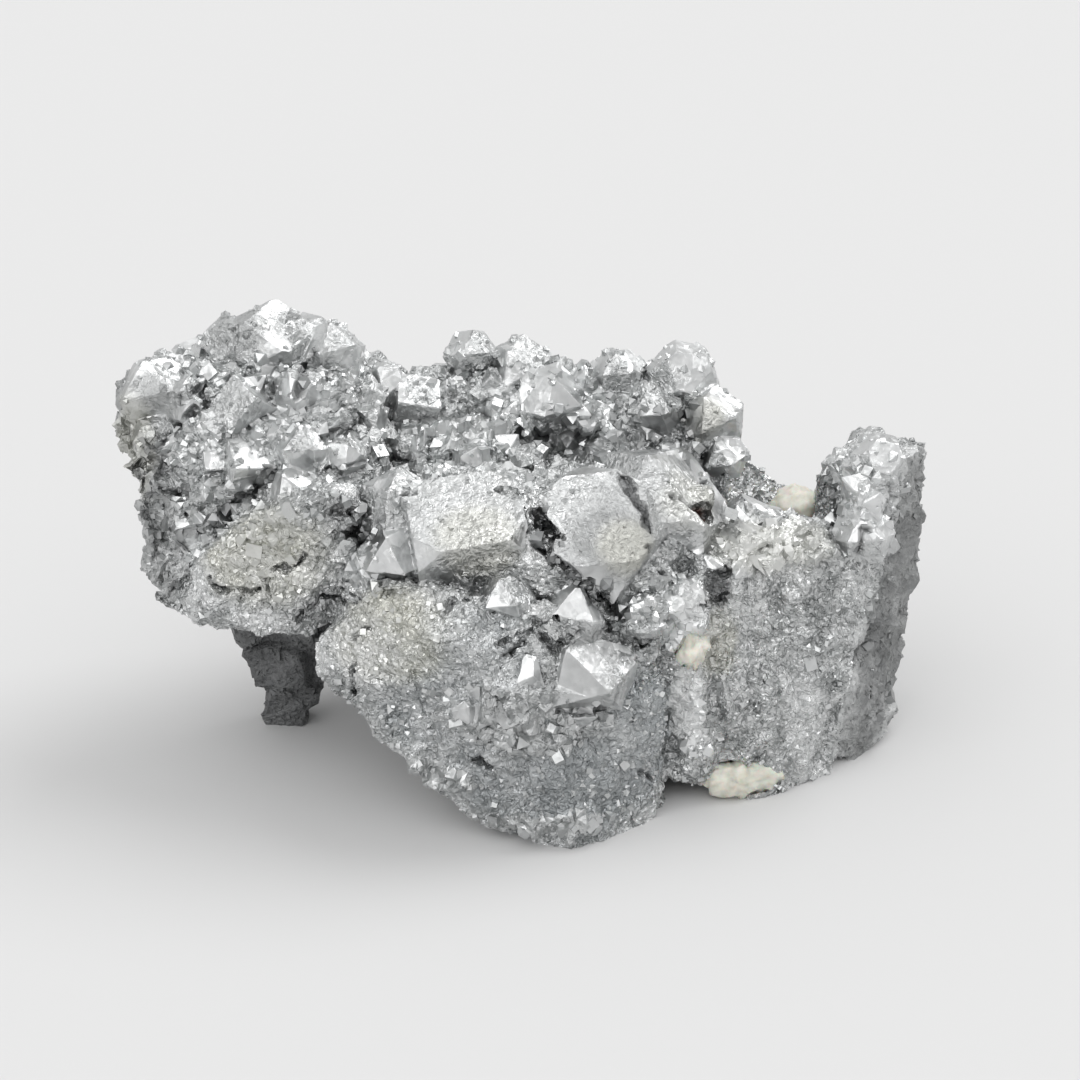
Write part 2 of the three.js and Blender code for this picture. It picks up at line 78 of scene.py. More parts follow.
# Where the ore's finish changes, and where shade and highlights are painted into its colour: the middle,
# the radii and the strength of each patch.
PATCHES = {
    # matt grey ore, its darker colour partly painted shade: the side wall's outer side, the left flank, the
    # leg, the undersides and worn crystals
    "matt_and_shaded": [
        ((35.5, -2.5, 8), (3.5, 4, 10), 1.0),
        ((9.5, -10, 28.5), (6, 6, 5), 0.35),
        ((7, -16, 16), (4, 4, 4), 0.25),
        ((-23.5, 7.6, 43.4), (2.4, 2.4, 2), 0.35),
        ((8.5, -11.5, 28.5), (5, 4, 4), 0.8),
        ((7, -16, 17.5), (4, 4, 4), 0.45),
        ((2, -18, 10), (14, 8, 11), 0.22),
        ((-28, 7, 43), (3.5, 4, 3), 0.5),
        ((-36, 0, 39), (3.5, 4, 3.5), 0.5),
        ((41, 6, 12), (7, 15, 23), 1.0),
        ((38.5, -1, 8), (4.5, 7, 9), 1.0),
        ((35, -4, 3), (3.5, 5, 4.5), 1.0),
        ((39.5, 1, 18), (3, 6, 8), 1.0),
        ((-38, -1, 24), (5, 7, 11), 0.5),
        ((-28, 4, 13), (17, 14, 6), 0.9),
        ((-25, 5, 6), (8, 8, 13), 1.0),
        ((-41, 4, 36), (4, 7, 6), 0.7),
        ((8, 16, 5), (34, 12, 12), 0.7),
    ],
    # bluish massive ore on the front lobe
    "blue": [
        ((3, -18, 7), (12, 8, 8), 1.0),
        ((-5, -17, 19), (7, 6, 6), 0.9),
        ((11, -15, 9), (6, 6, 8), 1.0),
        ((-9, -16, 14), (6, 6, 6), 0.7),
    ],
    # a thin yellowish film
    "film": [
        ((-26, -9, 26), (8, 5, 6), 1.0),
        ((-4.5, -12, 29), (4.5, 4, 4), 0.9),
        ((9.7, -12, 28.3), (3, 3, 3), 1.0),
        ((-13, -15, 20.5), (9, 5, 5), 0.8),
        ((16, -5, 30), (4, 4, 3), 0.6),
        ((24, -5, 25.5), (7, 5, 3), 0.7),
        ((18.8, -8.5, 16.5), (2.5, 3, 4), 0.9),
        ((17.8, 5.5, 34.2), (2.6, 3, 2.6), 1.0),
        ((-39, 1, 33), (3, 4, 6), 0.8),
    ],
    # a rusty speck in the pit of the slab crystal
    "rust": [((17.0, -4.2, 28.0), (0.9, 1.1, 0.8), 0.9)],
    # painted highlights: crests made whiter and less metallic, down the edge of the right lobe, beside the
    # ridge and along the side wall's top
    "bright": [
        ((16.3, -10, 16.5), (1.5, 2.5, 3), 0.8),
        ((17.4, -10.3, 5.5), (1.6, 2, 2.5), 0.8),
        ((16.2, -10.4, 21), (1.6, 2.5, 3.2), 1.0),
        ((16.2, -11, 10.5), (1.7, 2.5, 5), 1.0),
        ((-14, 6.5, 36.5), (1.8, 3, 2.6), 0.8),
        ((33.5, 0, 30), (4, 5, 3.5), 0.4),
        ((24, -6, 24.5), (6, 4, 2.5), 0.5),
        ((27.5, -7.5, 8), (1.8, 2.5, 8), 0.5),
    ],
    # etched, granular middles of the great crystals' faces
    "etched": [
        ((-23.2, 7.5, 43.3), (2.6, 2.6, 2.2), 0.7),
        ((-10.4, 7.5, 36.2), (2, 2, 2), 0.7),
        ((-4.6, -12.4, 28.4), (4.0, 4, 3.4), 1.0),
        ((10.8, -12.2, 27.2), (3.8, 3, 3.8), 1.0),
        ((15.5, -5.5, 30), (5.0, 5, 3.5), 0.8),
        ((8.6, -17.0, 15.4), (2.4, 2, 2.4), 0.6),
        ((-28, 7, 43), (3, 4, 3), 0.8),
        ((-36, 0, 39), (3, 4, 3), 0.7),
    ],
    # painted shade in the hollows and on the shaded leg
    "dark": [
        ((36, -1.5, 9), (2.5, 3.5, 9), 0.35),
        ((-25, 4.5, 5), (7, 7, 9), 0.75),
        ((-26, 5, 13), (12, 9, 4), 0.7),
        ((6, 6, 31), (8, 4, 4), 0.25),
        ((15, 5, 32), (4, 4, 4), 0.45),
        ((20.2, -3.5, 29), (2.0, 3, 4), 0.6),
        ((30.3, 4.5, 27), (1.5, 4, 3), 0.6),
        ((2, -12, 28.8), (1.5, 2, 1.8), 0.4),
        ((4.6, -13.3, 26), (1.6, 2, 1.5), 0.5),
        ((7.2, -14, 23.4), (1.5, 2, 1.7), 0.5),
        ((-17, -7, 29.5), (2.5, 3, 2.5), 0.45),
        ((19, -8, 22), (1.4, 2, 2.4), 0.8),
    ],
    # the great crystals, which nothing grows over
    "great": [
        ((-5.4, -8, 27), (7.5, 7.5, 6.5), 1.0),
        ((7.0, -7.5, 27), (8, 8, 8), 1.0),
        ((12.4, -2, 27.5), (8, 8, 7), 1.0),
        ((6.5, -14, 16.5), (5.5, 5.5, 5.5), 1.0),
        ((5, -13, 21.6), (3.5, 4, 3.5), 0.8),
        ((-12.5, -7, 28), (3.5, 4, 4), 0.7),
    ],
    # even faces, without blocks
    "plain": [
        ((-25.5, -8.5, 26.5), (6.0, 5, 4.2), 1.0),
        ((-19, -12.5, 18.5), (4.5, 5, 4.5), 0.8),
    ],
    # matt but strongly broken
    "rugged": [
        ((-25, 5, 6), (9, 9, 13), 1.0),
        ((-24, 6, 12), (14, 10, 5), 0.6),
        ((-37, 0, 28), (6, 7, 14), 0.8),
        ((-21, -7, 23), (10, 6, 5), 0.35),
        ((38, 4, 15), (5, 13, 20), 0.4),
        ((8, 15, 6), (34, 12, 10), 0.6),
        ((-16, -11, 18), (8, 6, 8), 0.45),
        ((24, -6, 14), (10, 6, 12), 0.35),
    ],
    # where small crystals crowd together
    "druse": [
        ((-27, 4, 37), (16, 13, 11), 0.7),
        ((-24, -4, 29), (12, 7, 5), 0.5),
        ((-31, 2, 28), (9, 9, 8), 0.5),
        ((3, 11, 36), (22, 10, 6), 0.9),
        ((2, 6, 31), (20, 8, 5), 0.8),
        ((24, -3, 25.5), (8, 6, 3), 0.6),
        ((34, 2, 28.5), (4, 8, 6), 0.8),
        ((-13, -7, 27), (5, 6, 6), 0.8),
        ((1, -17, 13), (9, 5, 4), 0.7),
        ((-8, -17.5, 6.5), (4, 3, 1.6), 0.8),
        ((3, -20, 2.4), (7, 3, 1.5), 0.6),
        ((15.5, -11, 20), (2.5, 4, 5), 0.7),
        ((16, -11, 10), (2.2, 3, 6), 0.5),
        ((-10, 20, 27), (26, 8, 10), 0.7),
        ((12, -10, 22), (4, 5, 4), 0.7),
    ],
}

# Open cracks: half the width, the depth and the points along each, in millimetres.
CRACKS = [
    (0.54, 1.2, [(-37.5, -0.5, 33), (-36.5, -0.5, 33.5), (-35.5, 0, 34), (-34, 1.5, 35), (-32.5, 1, 37)]),
    (0.61, 1.1, [(-33.5, 1, 38), (-32.5, 2.5, 38.5), (-31.5, 3.5, 38.5), (-31, 1, 37.5)]),
    (0.65, 1.6, [
        (-31.5, -4, 25.5), (-29.5, -3.5, 27.5), (-28.5, -3.5, 29), (-26, -4, 30.5), (-24.5, -4, 33),
    ]),
    (0.45, 0.9, [(-25.5, -9, 22.5), (-24.5, -9.5, 24), (-22, -9.5, 25), (-21, -9.5, 26)]),
    (0.43, 0.8, [(-30.5, -7, 22.5), (-29.5, -7.5, 21.5), (-27.5, -8.5, 21.5), (-25.5, -9, 22.5)]),
    (0.41, 0.7, [(-25, -9, 23), (-25, -9.5, 22.5), (-24.5, -9.5, 21.5)]),
    (0.51, 1.1, [
        (-22, -9, 19), (-19.5, -8.5, 21), (-17.5, -8.5, 20.5), (-15.5, -12.5, 23), (-13.5, -12.5, 24),
    ]),
    (0.41, 0.6, [(-7.5, -16.5, 23.5), (-6.5, -16, 24.5), (-5, -15.5, 24.5), (-4, -13, 24)]),
    (0.8, 1.7, [
        (1, -11, 30), (2, -12, 28.5), (3.5, -12.5, 27), (5, -13, 26), (6.5, -14, 25), (8.5, -13.5, 21),
    ]),
    (0.54, 1.2, [(-2, -18, 19.5), (-1, -17.5, 20), (0, -16.5, 21)]),
    (0.57, 1.2, [(1, -15.5, 22.5), (2, -16.5, 21), (3, -17, 19.5)]),
    (0.43, 0.8, [(3.5, -16.5, 20), (6, -15.5, 21), (9, -13.5, 20), (11, -13, 18), (11, -14, 17.5)]),
    (0.51, 1.0, [(3.5, -18, 13.5), (6.5, -17.5, 13.5), (8, -16.5, 13.5), (9, -17, 15)]),
    (0.47, 1.0, [(-16, -14.5, 17.5), (-16.5, -14.5, 15.5), (-17, -14.5, 13.5)]),
    (0.41, 0.6, [(-16.5, -13.5, 19), (-15.5, -14, 20.5), (-14.5, -14.5, 21)]),
    (0.42, 0.8, [(12, -12, 28.5), (13, -10, 24)]),
    (0.65, 1.5, [(9.3, -6.0, 33.4), (10.2, -7.5, 32.2), (11.2, -9, 31), (12.3, -10.7, 29.5)]),
    (0.51, 1.0, [(14.5, -6.5, 31), (16, -6.5, 30), (18, -4, 28)]),
    (0.70, 1.2, [(19, -8.5, 20.5), (19.5, -8, 21)]),
    (0.61, 1.1, [(19, -8, 23.5), (20, -7.5, 23.5)]),
    (0.49, 1.0, [(33.5, -5, 27), (33, -5.5, 26), (33, -5, 24)]),
    (0.43, 0.8, [(34.5, -3, 28.5), (35.5, -0.5, 26.5), (37, 0.5, 25.5)]),
    (0.41, 0.7, [(34, -4, 10.5), (34, -3.5, 12), (34.5, -2.5, 12.5)]),
    (0.51, 1.0, [(-19.5, -2, 35.5), (-17.5, 0, 35), (-17, 1, 35), (-16, 2.5, 35.5)]),
    (0.61, 1.1, [(-22, -0.5, 39), (-21.5, 0.5, 40.5), (-21.5, 5, 40), (-21, 5.5, 41.5)]),
    (0.49, 0.8, [(-20, -4, 32.5), (-18.5, -3.5, 32.5), (-17, -4, 33), (-15.5, -3, 33.5)]),
    (0.68, 1.2, [(-18.5, -8.5, 30.5), (-17, -8, 30), (-16.5, -5, 28.5)]),
    (0.49, 1.0, [(-15, -8.5, 27.5), (-13.5, -9, 29.5), (-12, -8.5, 32), (-10.5, -7.5, 32)]),
    (0.61, 1.1, [(-35.5, -1.5, 31.5), (-35.5, 0, 32)]),
    (0.49, 1.0, [(-35, -2, 30.5), (-34, -2, 29.5), (-33, -2, 29)]),
    (0.70, 1.4, [(-32.5, -3.5, 25.5), (-31.5, -5, 25)]),
    (0.49, 0.7, [(-8.5, 10, 36.5), (-7, 8, 35), (-5, 7.5, 34.5), (-3.5, 7, 34)]),
    (0.54, 0.8, [(11.5, -15, 5.5), (13, -14, 4)]),
    (0.70, 1.3, [(-4.5, -19, 8.5), (-3.5, -19, 8)]),
]

# Lumps of ore that fill a gap, above the foot and between two great crystals: middles and radii.
FILLS = [((16.6, -10.3, 4.4), (3.1, 2.4, 3.5)), ((3.4, -10.6, 26.0), (2.2, 2.4, 1.8))]

# Broad folds: half the width, how far out (or in, below nought) and the points along each.
FOLDS = [
    (5.5, -1.2, [(-37, -2, 30), (-36, -4, 27), (-35, -5, 24)]),
    (6.0, -1.6, [(-38, 1, 28), (-37.5, 0, 24.5)]),
    (4.5, 0.5, [(-39, 2, 38), (-39, 4, 35)]),
    (2.5, -0.7, [(21, -2, 27.5), (26, 0, 26.5), (28, 3, 26)]),
    (1.7, -0.9, [
        (37, 0.5, 21), (36, -1, 16), (34.5, -3, 12.5), (33, -6, 9.5), (31.5, -6.5, 6), (30.5, -7, 2),
    ]),
    (2.4, 0.7, [(27, -6.5, 20), (29, -7, 11.5), (28.5, -8, 4)]),
    (1.4, 1.0, [
        (17, -7, 24.5), (16.5, -10, 21.5), (16.5, -9.5, 15.5), (16.5, -10.5, 11), (17.5, -10, 5.5),
    ]),
    (1.5, -1.0, [(19, -9, 16), (18.8, -9.5, 11.5), (19.3, -10, 9)]),
    (1.8, -1.0, [(13.8, -11, 19), (14.3, -11.9, 12.8), (15, -11.4, 7.4), (16, -11, 3)]),
    (1.8, -0.6, [(22.5, -8, 22), (23.5, -8.5, 12), (22.5, -9.5, 6)]),
    (1.5, -0.6, [(-12, -15, 21), (-10, -17, 16), (-8.5, -18, 10)]),
    (2.2, 0.5, [(-3, -18, 20), (-4, -18.5, 14)]),
    (1.6, -0.6, [(6, -18, 10.5), (9.5, -16.5, 8), (10.5, -15.5, 3)]),
    (2.5, -0.5, [(0, -19, 8), (3, -20, 4), (3, -20, 2)]),
    (5.0, -1.5, [(-37.5, -2, 21), (-36.3, -4.5, 19.5)]),
]

CUBIC_ANGLES = (54.7356, 70.5288, 90.0)  # between the faces of cubic crystals, in degrees
ORE, MIRROR, ETCHED = range(3)  # a face's kind

# The ore's relief: the widths of its forms, and how many spots are tried for a block or a crystal.
SWELL_WIDTH = 7.5 * MM
LUMP_WIDTH = 4 * MM
CHIP_WIDTH = 1.5 * MM
BIT_WIDTH = 0.8 * MM
GRAIN_WIDTH = 0.42 * MM
BLOCK_TRIES = 9000
BLOCK_ROOM = 1.25  # from one block's middle to the next, as a share of their size
BLOCK_RISE = 0.42  # how far a block stands out, as a share of its size
CRYSTAL_TRIES = 16000
CRYSTAL_ROOM = 1.3
CRYSTAL_RISE = 0.75
CLEAR_REACH = 0.7 * MM  # how near a crystal or the calcite the ore starts to keep low
SOFTENING = 25  # rounds of evening out, which carry a normal about a millimetre along
SUNK = 0.4 * MM  # how far the bare ore sinks, so that blocks and lumps end on the solid's surface
SOLE = 0.05 * MM  # what lies lower than this stays where it stands
SEEN = 0.05 * MM  # a crystal that stands out less than this is lost in its block
CRYSTAL_SLACK = 0.08 * MM  # how far off the solid's flat face a crystal's own face may lie
# A crack's depth sets how dark the shade painted into it is.
CRACK_DARK = 0.6 * MM  # the depth at which a crack is fully dark
HOLLOW_REACH = 5 * MM  # how far around it a point looks for what shades it
DARKEST_PAINTED_SHADE = 0.75  # how dark the painted shade makes a hollow at most
CRUST_SINK = 0.45  # how deep a small crystal or grain sits in its host, as a share of its size

LOOKED_AT = (1.6, 0.0, 23.4)  # what the camera looks at

# The room's light: towards where, its bright and faded radii in degrees, and how much it adds.
ROOM = (
    ((0, 0, 1), 20, 75, 0.2),
    ((-0.6, -0.5, 0.7), 12, 38, 0.6),
    ((0.1, -1, 0.15), 15, 50, -0.06),
    ((0.3, 1, 0.1), 20, 60, -0.06),
)


# ---- settings ----


def length_setting(name, description, default):
    """A setting that holds a length."""
    return bpy.props.FloatProperty(
        name=name, description=description, default=default, subtype="DISTANCE", unit="LENGTH"
    )


def count_setting(name, description, default):
    """A setting that holds a whole number."""
    return bpy.props.IntProperty(name=name, description=description, default=default, min=0)


def colour_setting(name, description, code):
    """A colour setting that starts from an sRGB hex code."""
    return bpy.props.FloatVectorProperty(
        name=name, description=description, default=linear(code), subtype="COLOR", size=4,
        min=0.0, max=1.0,
    )


def linear(code):
    """Linear RGBA of an sRGB hex code such as "c8caca"."""
    channels = [int(code[i : i + 2], 16) / 255 for i in (0, 2, 4)]
    return (*((c / 12.92 if c <= 0.04045 else ((c + 0.055) / 1.055) ** 2.4) for c in channels), 1.0)


class OreSettings(bpy.types.PropertyGroup):
    """How the massive ore is broken."""

    triangles: count_setting("Triangles", "How many triangles the ore may have", 190000)
    voxel: length_setting("Mesh width", "Width of the mesh that is broken up", 0.17 * MM)
    block: length_setting("Block", "Half the width of the largest intergrown blocks", 2.3 * MM)
    crystal: length_setting("Crystal", "Half the width of the largest crystals in the blocks", 0.95 * MM)
    lump_height: length_setting("Lump height", "How far the ore's lumps stand in or out", 0.40 * MM)
    chip_height: length_setting("Chip height", "How far the ore's flat chips stand in or out", 0.30 * MM)
    grain_height: length_setting("Grain height", "How far single grains stand in or out", 0.11 * MM)
    etched_share: bpy.props.FloatProperty(
        name="Etched share",
        description="Share of the crystal faces that are etched and granular",
        default=0.35,
        min=0.0,
        max=1.0,
        subtype="FACTOR",
    )
    seed: count_setting("Seed", "Picks which crystal faces are etched and where the blocks stand", 5)


class CrustSettings(bpy.types.PropertyGroup):
    """The small crystals and the loose grains grown on the ore."""

    smallest: length_setting("Smallest crystal", "Half the width of the crust's smallest", 0.22 * MM)
    largest: length_setting("Largest crystal", "Half the width of the crust's largest", 0.7 * MM)
    tries: count_setting("Crystal tries", "How many spots are tried for a crystal of the crust", 5000)
    grain: length_setting("Grain", "Half the width of a bright grain on the broken ore", 0.2 * MM)
    grain_tries: count_setting("Grain tries", "How many spots are tried for a grain", 15000)
    seed: count_setting("Seed", "Picks where the small crystals stand", 3)


class CalciteSettings(bpy.types.PropertyGroup):
    """The patches of calcite."""

    swell: length_setting("Swell", "How far the calcite grows into its seam with the ore", 0.2 * MM)
    relief: length_setting("Relief", "How uneven the calcite's surface is", 0.4 * MM)


class ColourSettings(bpy.types.PropertyGroup):
    """The colours of ore, films and calcite."""

    crystal: colour_setting("Crystal", "Tin-white of the crystal faces", "e4e5e5")
    crystal_shade: colour_setting("Crystal shade", "Greyer crystals of the crust", "c2c4c4")
    ore: colour_setting("Ore", "Fresh granular ore", "e2e3e3")
    ore_shade: colour_setting("Ore shade", "Darker grains of the ore", "a2a4a4")
    blue: colour_setting("Bluish ore", "Massive ore of the front lobe", "a5a9ab")
    # Matt ore, and painted shade: this darker colour lies on the side wall and the undersides, which stand
    # in shade.
    matt_and_shaded: colour_setting("Dull ore", "Matt ore of the side wall and undersides", "8d8e8e")
    film: colour_setting("Film", "Thin yellowish film", "d8d7cc")
    rust: colour_setting("Rust", "Rusty speck in a pit", "7a4632")
    # Painted shade: the colour laid into the hollows and the cracks.
    painted_shade: colour_setting("Cavity", "Painted shade in the hollows and cracks", "5e5f60")
    calcite: colour_setting("Calcite", "Cream white calcite", "e6e5da")
    calcite_stain: colour_setting("Calcite stain", "Greyish stain in the calcite", "c4c3b4")


class StageSettings(bpy.types.PropertyGroup):
    """The floor, the camera and the lights."""

    floor: colour_setting("Floor", "Pale matt floor", "d1d1d1")
    elevation: bpy.props.FloatProperty(
        name="Camera elevation",
        description="How far the camera looks down",
        default=math.radians(25),
        subtype="ANGLE",
    )
    distance: length_setting("Camera distance", "From the camera to the point it looks at", 260 * MM)
    lens: bpy.props.FloatProperty(
        name="Lens", description="Focal length", default=86.667, unit="CAMERA"
    )
    sky: bpy.props.FloatProperty(
        name="Room light", description="Brightness of the pale room", default=0.68, min=0.0
    )


# ---- small helpers ----


def place(point):
    """A place in the model's own millimetres, in metres in the frame."""
    return (Vector(point) + SHIFT) * MM


def settings(name):
    """The scene's settings for one part of the work."""
    return getattr(bpy.context.scene, "specimen_" + name)


def finished(name, mesh, slot, *replaced):
    """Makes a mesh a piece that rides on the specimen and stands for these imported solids."""
    if not mesh.polygons:
        raise RuntimeError(name + " came out empty")
    piece = bpy.data.objects.new(name, mesh)
    bpy.context.scene.collection.objects.link(piece)
    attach(piece, "root")
    if replaced:
        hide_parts(*replaced)


def merged_copy(node):
    """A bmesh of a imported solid, its loose triangles joined."""
    bm = bmesh.new()
    bm.from_mesh(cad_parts[node].data)
    bmesh.ops.remove_doubles(bm, verts=bm.verts, dist=0.001 * MM)
    bmesh.ops.dissolve_degenerate(bm, edges=bm.edges, dist=0.0005 * MM)
    bmesh.ops.triangulate(bm, faces=bm.faces)
    return bm


def positions(mesh):
    """The mesh's points as rows of three, in metres."""
    co = np.empty(len(mesh.vertices) * 3, np.float32)
    mesh.vertices.foreach_get("co", co)
    return co.reshape(-1, 3).astype(float)


def write_attribute(mesh, name, values):
    """Keeps a value for each point under this name, for the materials to read."""
    attribute = mesh.attributes.new(name, "FLOAT", "POINT")
    attribute.data.foreach_set("value", np.asarray(values, np.float32))


def host_values(host, kind):
    """The values that a mesh's points hold under this name."""
    values = np.empty(len(host.vertices), np.float32)
    host.attributes[kind].data.foreach_get("value", values)
    return values.astype(float)


def patch_strength(points, kind):
    """How strongly each point, in metres, lies in the patches of one kind, from 0 to 1."""
    found = np.zeros(len(points))
    for middle, radii, strength in PATCHES[kind]:
        away = np.linalg.norm((points - np.array(place(middle))) / (np.array(radii) * MM), axis=1)
        inside = np.clip((1.15 - away) / 0.5, 0, 1)
        found = np.maximum(found, strength * inside * inside * (3 - 2 * inside))
    return found


# ---- materials ----


def add(tree, kind, inputs=None, **node_settings):
    """Adds a node, with its settings, and a value, a socket or a node's first output for its inputs."""
    node = tree.nodes.new(kind)
    for name, value in node_settings.items():
        setattr(node, name, value)
    for name, value in (inputs or {}).items():
        if isinstance(value, bpy.types.Node):
            value = value.outputs[0]
        if isinstance(value, bpy.types.NodeSocket):
            tree.links.new(value, node.inputs[name])
        else:
            node.inputs[name].default_value = value
    return node


def empty_material(name):
    """A new material, its empty tree and where the shaded point lies on the piece."""
    material = bpy.data.materials.new(name)
    material.use_nodes = True
    tree = material.node_tree
    tree.nodes.clear()
    where = add(tree, "ShaderNodeTexCoord").outputs["Object"]
    return material, tree, where


def surfaced(tree, inputs):
    """Ends a material's tree in a surface with these inputs."""
    surface = add(tree, "ShaderNodeBsdfPrincipled", inputs)
    add(tree, "ShaderNodeOutputMaterial", {"Surface": surface})


def layered(tree, colour, layers):
    """A colour with others laid over it in turn, each as its cover, its thickness and its hue."""
    for cover, thickness, hue in layers:
        share = add(tree, "ShaderNodeMath", {0: cover, 1: thickness}, operation="MULTIPLY")
        laid = add(tree, "ShaderNodeMix", {0: share, 6: colour, 7: tuple(hue)}, data_type="RGBA")
        colour = laid.outputs[2]
    return colour


def tilted_normal(tree, colours, amount, normal=None):
    """The surface's normal, tipped one way in each grain, as broken metal glints."""
    if normal is None:
        normal = add(tree, "ShaderNodeNewGeometry").outputs["Normal"]
    centred = add(tree, "ShaderNodeVectorMath", {0: colours, 1: (0.5, 0.5, 0.5)}, operation="SUBTRACT")
    scaled = add(tree, "ShaderNodeVectorMath", {0: centred, "Scale": amount}, operation="SCALE")
    tipped = add(tree, "ShaderNodeVectorMath", {0: normal, 1: scaled}, operation="ADD")
    return add(tree, "ShaderNodeVectorMath", {0: tipped}, operation="NORMALIZE")


def crystal_material():
    """Skutterudite crystal faces: mirror-bright tin-white metal, etched to fine grains in places."""
    colours = settings("colours")
    material, tree, where = empty_material("skutterudite_crystal_face")
    tint, etched, matt_and_shaded, bright, film, rust, painted_shade = (
        add(tree, "ShaderNodeAttribute", attribute_name=name).outputs["Fac"]
        for name in ("tint", "etched", "matt_and_shaded", "bright", "film", "rust", "painted_shade")
    )
    # Etching as fine as the real one would not show, so its grains are drawn 0.4 mm wide.
    grains = add(tree, "ShaderNodeTexVoronoi", {"Vector": where, "Scale": 1 / (0.4 * MM)})
    mosaic = add(tree, "ShaderNodeTexVoronoi", {"Vector": where, "Scale": 1 / (1.4 * MM)})
    marks = add(tree, "ShaderNodeTexNoise", {"Vector": where, "Scale": 1 / (1.3 * MM), "Detail": 3.0})
    haze = add(tree, "ShaderNodeTexNoise", {"Vector": where, "Scale": 1 / (4 * MM), "Detail": 2.0})
    pits = add(tree, "ShaderNodeTexNoise", {
        "Vector": where, "Scale": 1 / (0.7 * MM), "Detail": 2.0, "Distortion": 1.4,
    })
    mottle = add(tree, "ShaderNodeMapRange", {"Value": marks, 1: 0.35, 2: 0.7, 3: 0.0, 4: 0.5})
    colour = layered(tree, tuple(colours.crystal), (
        (tint, 1.0, colours.crystal_shade),
        (mottle, 1.0, colours.crystal_shade),
        (etched, 0.4, colours.ore_shade),
        # the matt ore's colour, partly painted shade
        (matt_and_shaded, 0.7, colours.matt_and_shaded),
        # painted highlight on the bright crests
        (bright, 1.0, colours.crystal),
        (film, 0.4, colours.film),
        (rust, 1.0, colours.rust),
        # painted shade in the hollows and the cracks
        (painted_shade, 1.0, colours.painted_shade),
    ))
    roughness = add(tree, "ShaderNodeMapRange", {"Value": haze, 1: 0.35, 2: 0.65, 3: 0.27, 4: 0.45})
    for cause, more in ((etched, 0.12), (matt_and_shaded, 0.15)):
        roughness = add(tree, "ShaderNodeMath", {0: cause, 1: more, 2: roughness}, operation="MULTIPLY_ADD")
    # The bright crests lose some of their metal, so that they show white under the key light: a painted
    # highlight.
    metallic = add(tree, "ShaderNodeMath", {0: bright, 1: -0.45, 2: 1.0}, operation="MULTIPLY_ADD")
    # Growth steps tip an untouched face here and there, and an etched one grain by grain.
    step = add(tree, "ShaderNodeMath", {0: etched, 1: -0.2, 2: 0.3}, operation="MULTIPLY_ADD")
    stepped = tilted_normal(tree, mosaic.outputs["Color"], step)
    tilt = add(tree, "ShaderNodeMath", {0: etched, 1: 0.45, 2: 0.1}, operation="MULTIPLY_ADD")
    tilted = tilted_normal(tree, grains.outputs["Color"], tilt, stepped)
    eaten = add(tree, "ShaderNodeMath", {0: etched, 1: pits}, operation="MULTIPLY")
    relief = add(tree, "ShaderNodeMath", {0: marks, 1: 0.5}, operation="MULTIPLY")
    relief = add(tree, "ShaderNodeMath", {0: eaten, 1: 2.0, 2: relief}, operation="MULTIPLY_ADD")
    bump = add(tree, "ShaderNodeBump", {
        "Height": relief, "Strength": 0.9, "Distance": 0.18 * MM, "Normal": tilted,
    })
    surfaced(tree, {
        "Base Color": colour, "Metallic": metallic, "Roughness": roughness, "Normal": bump,
    })
    return material


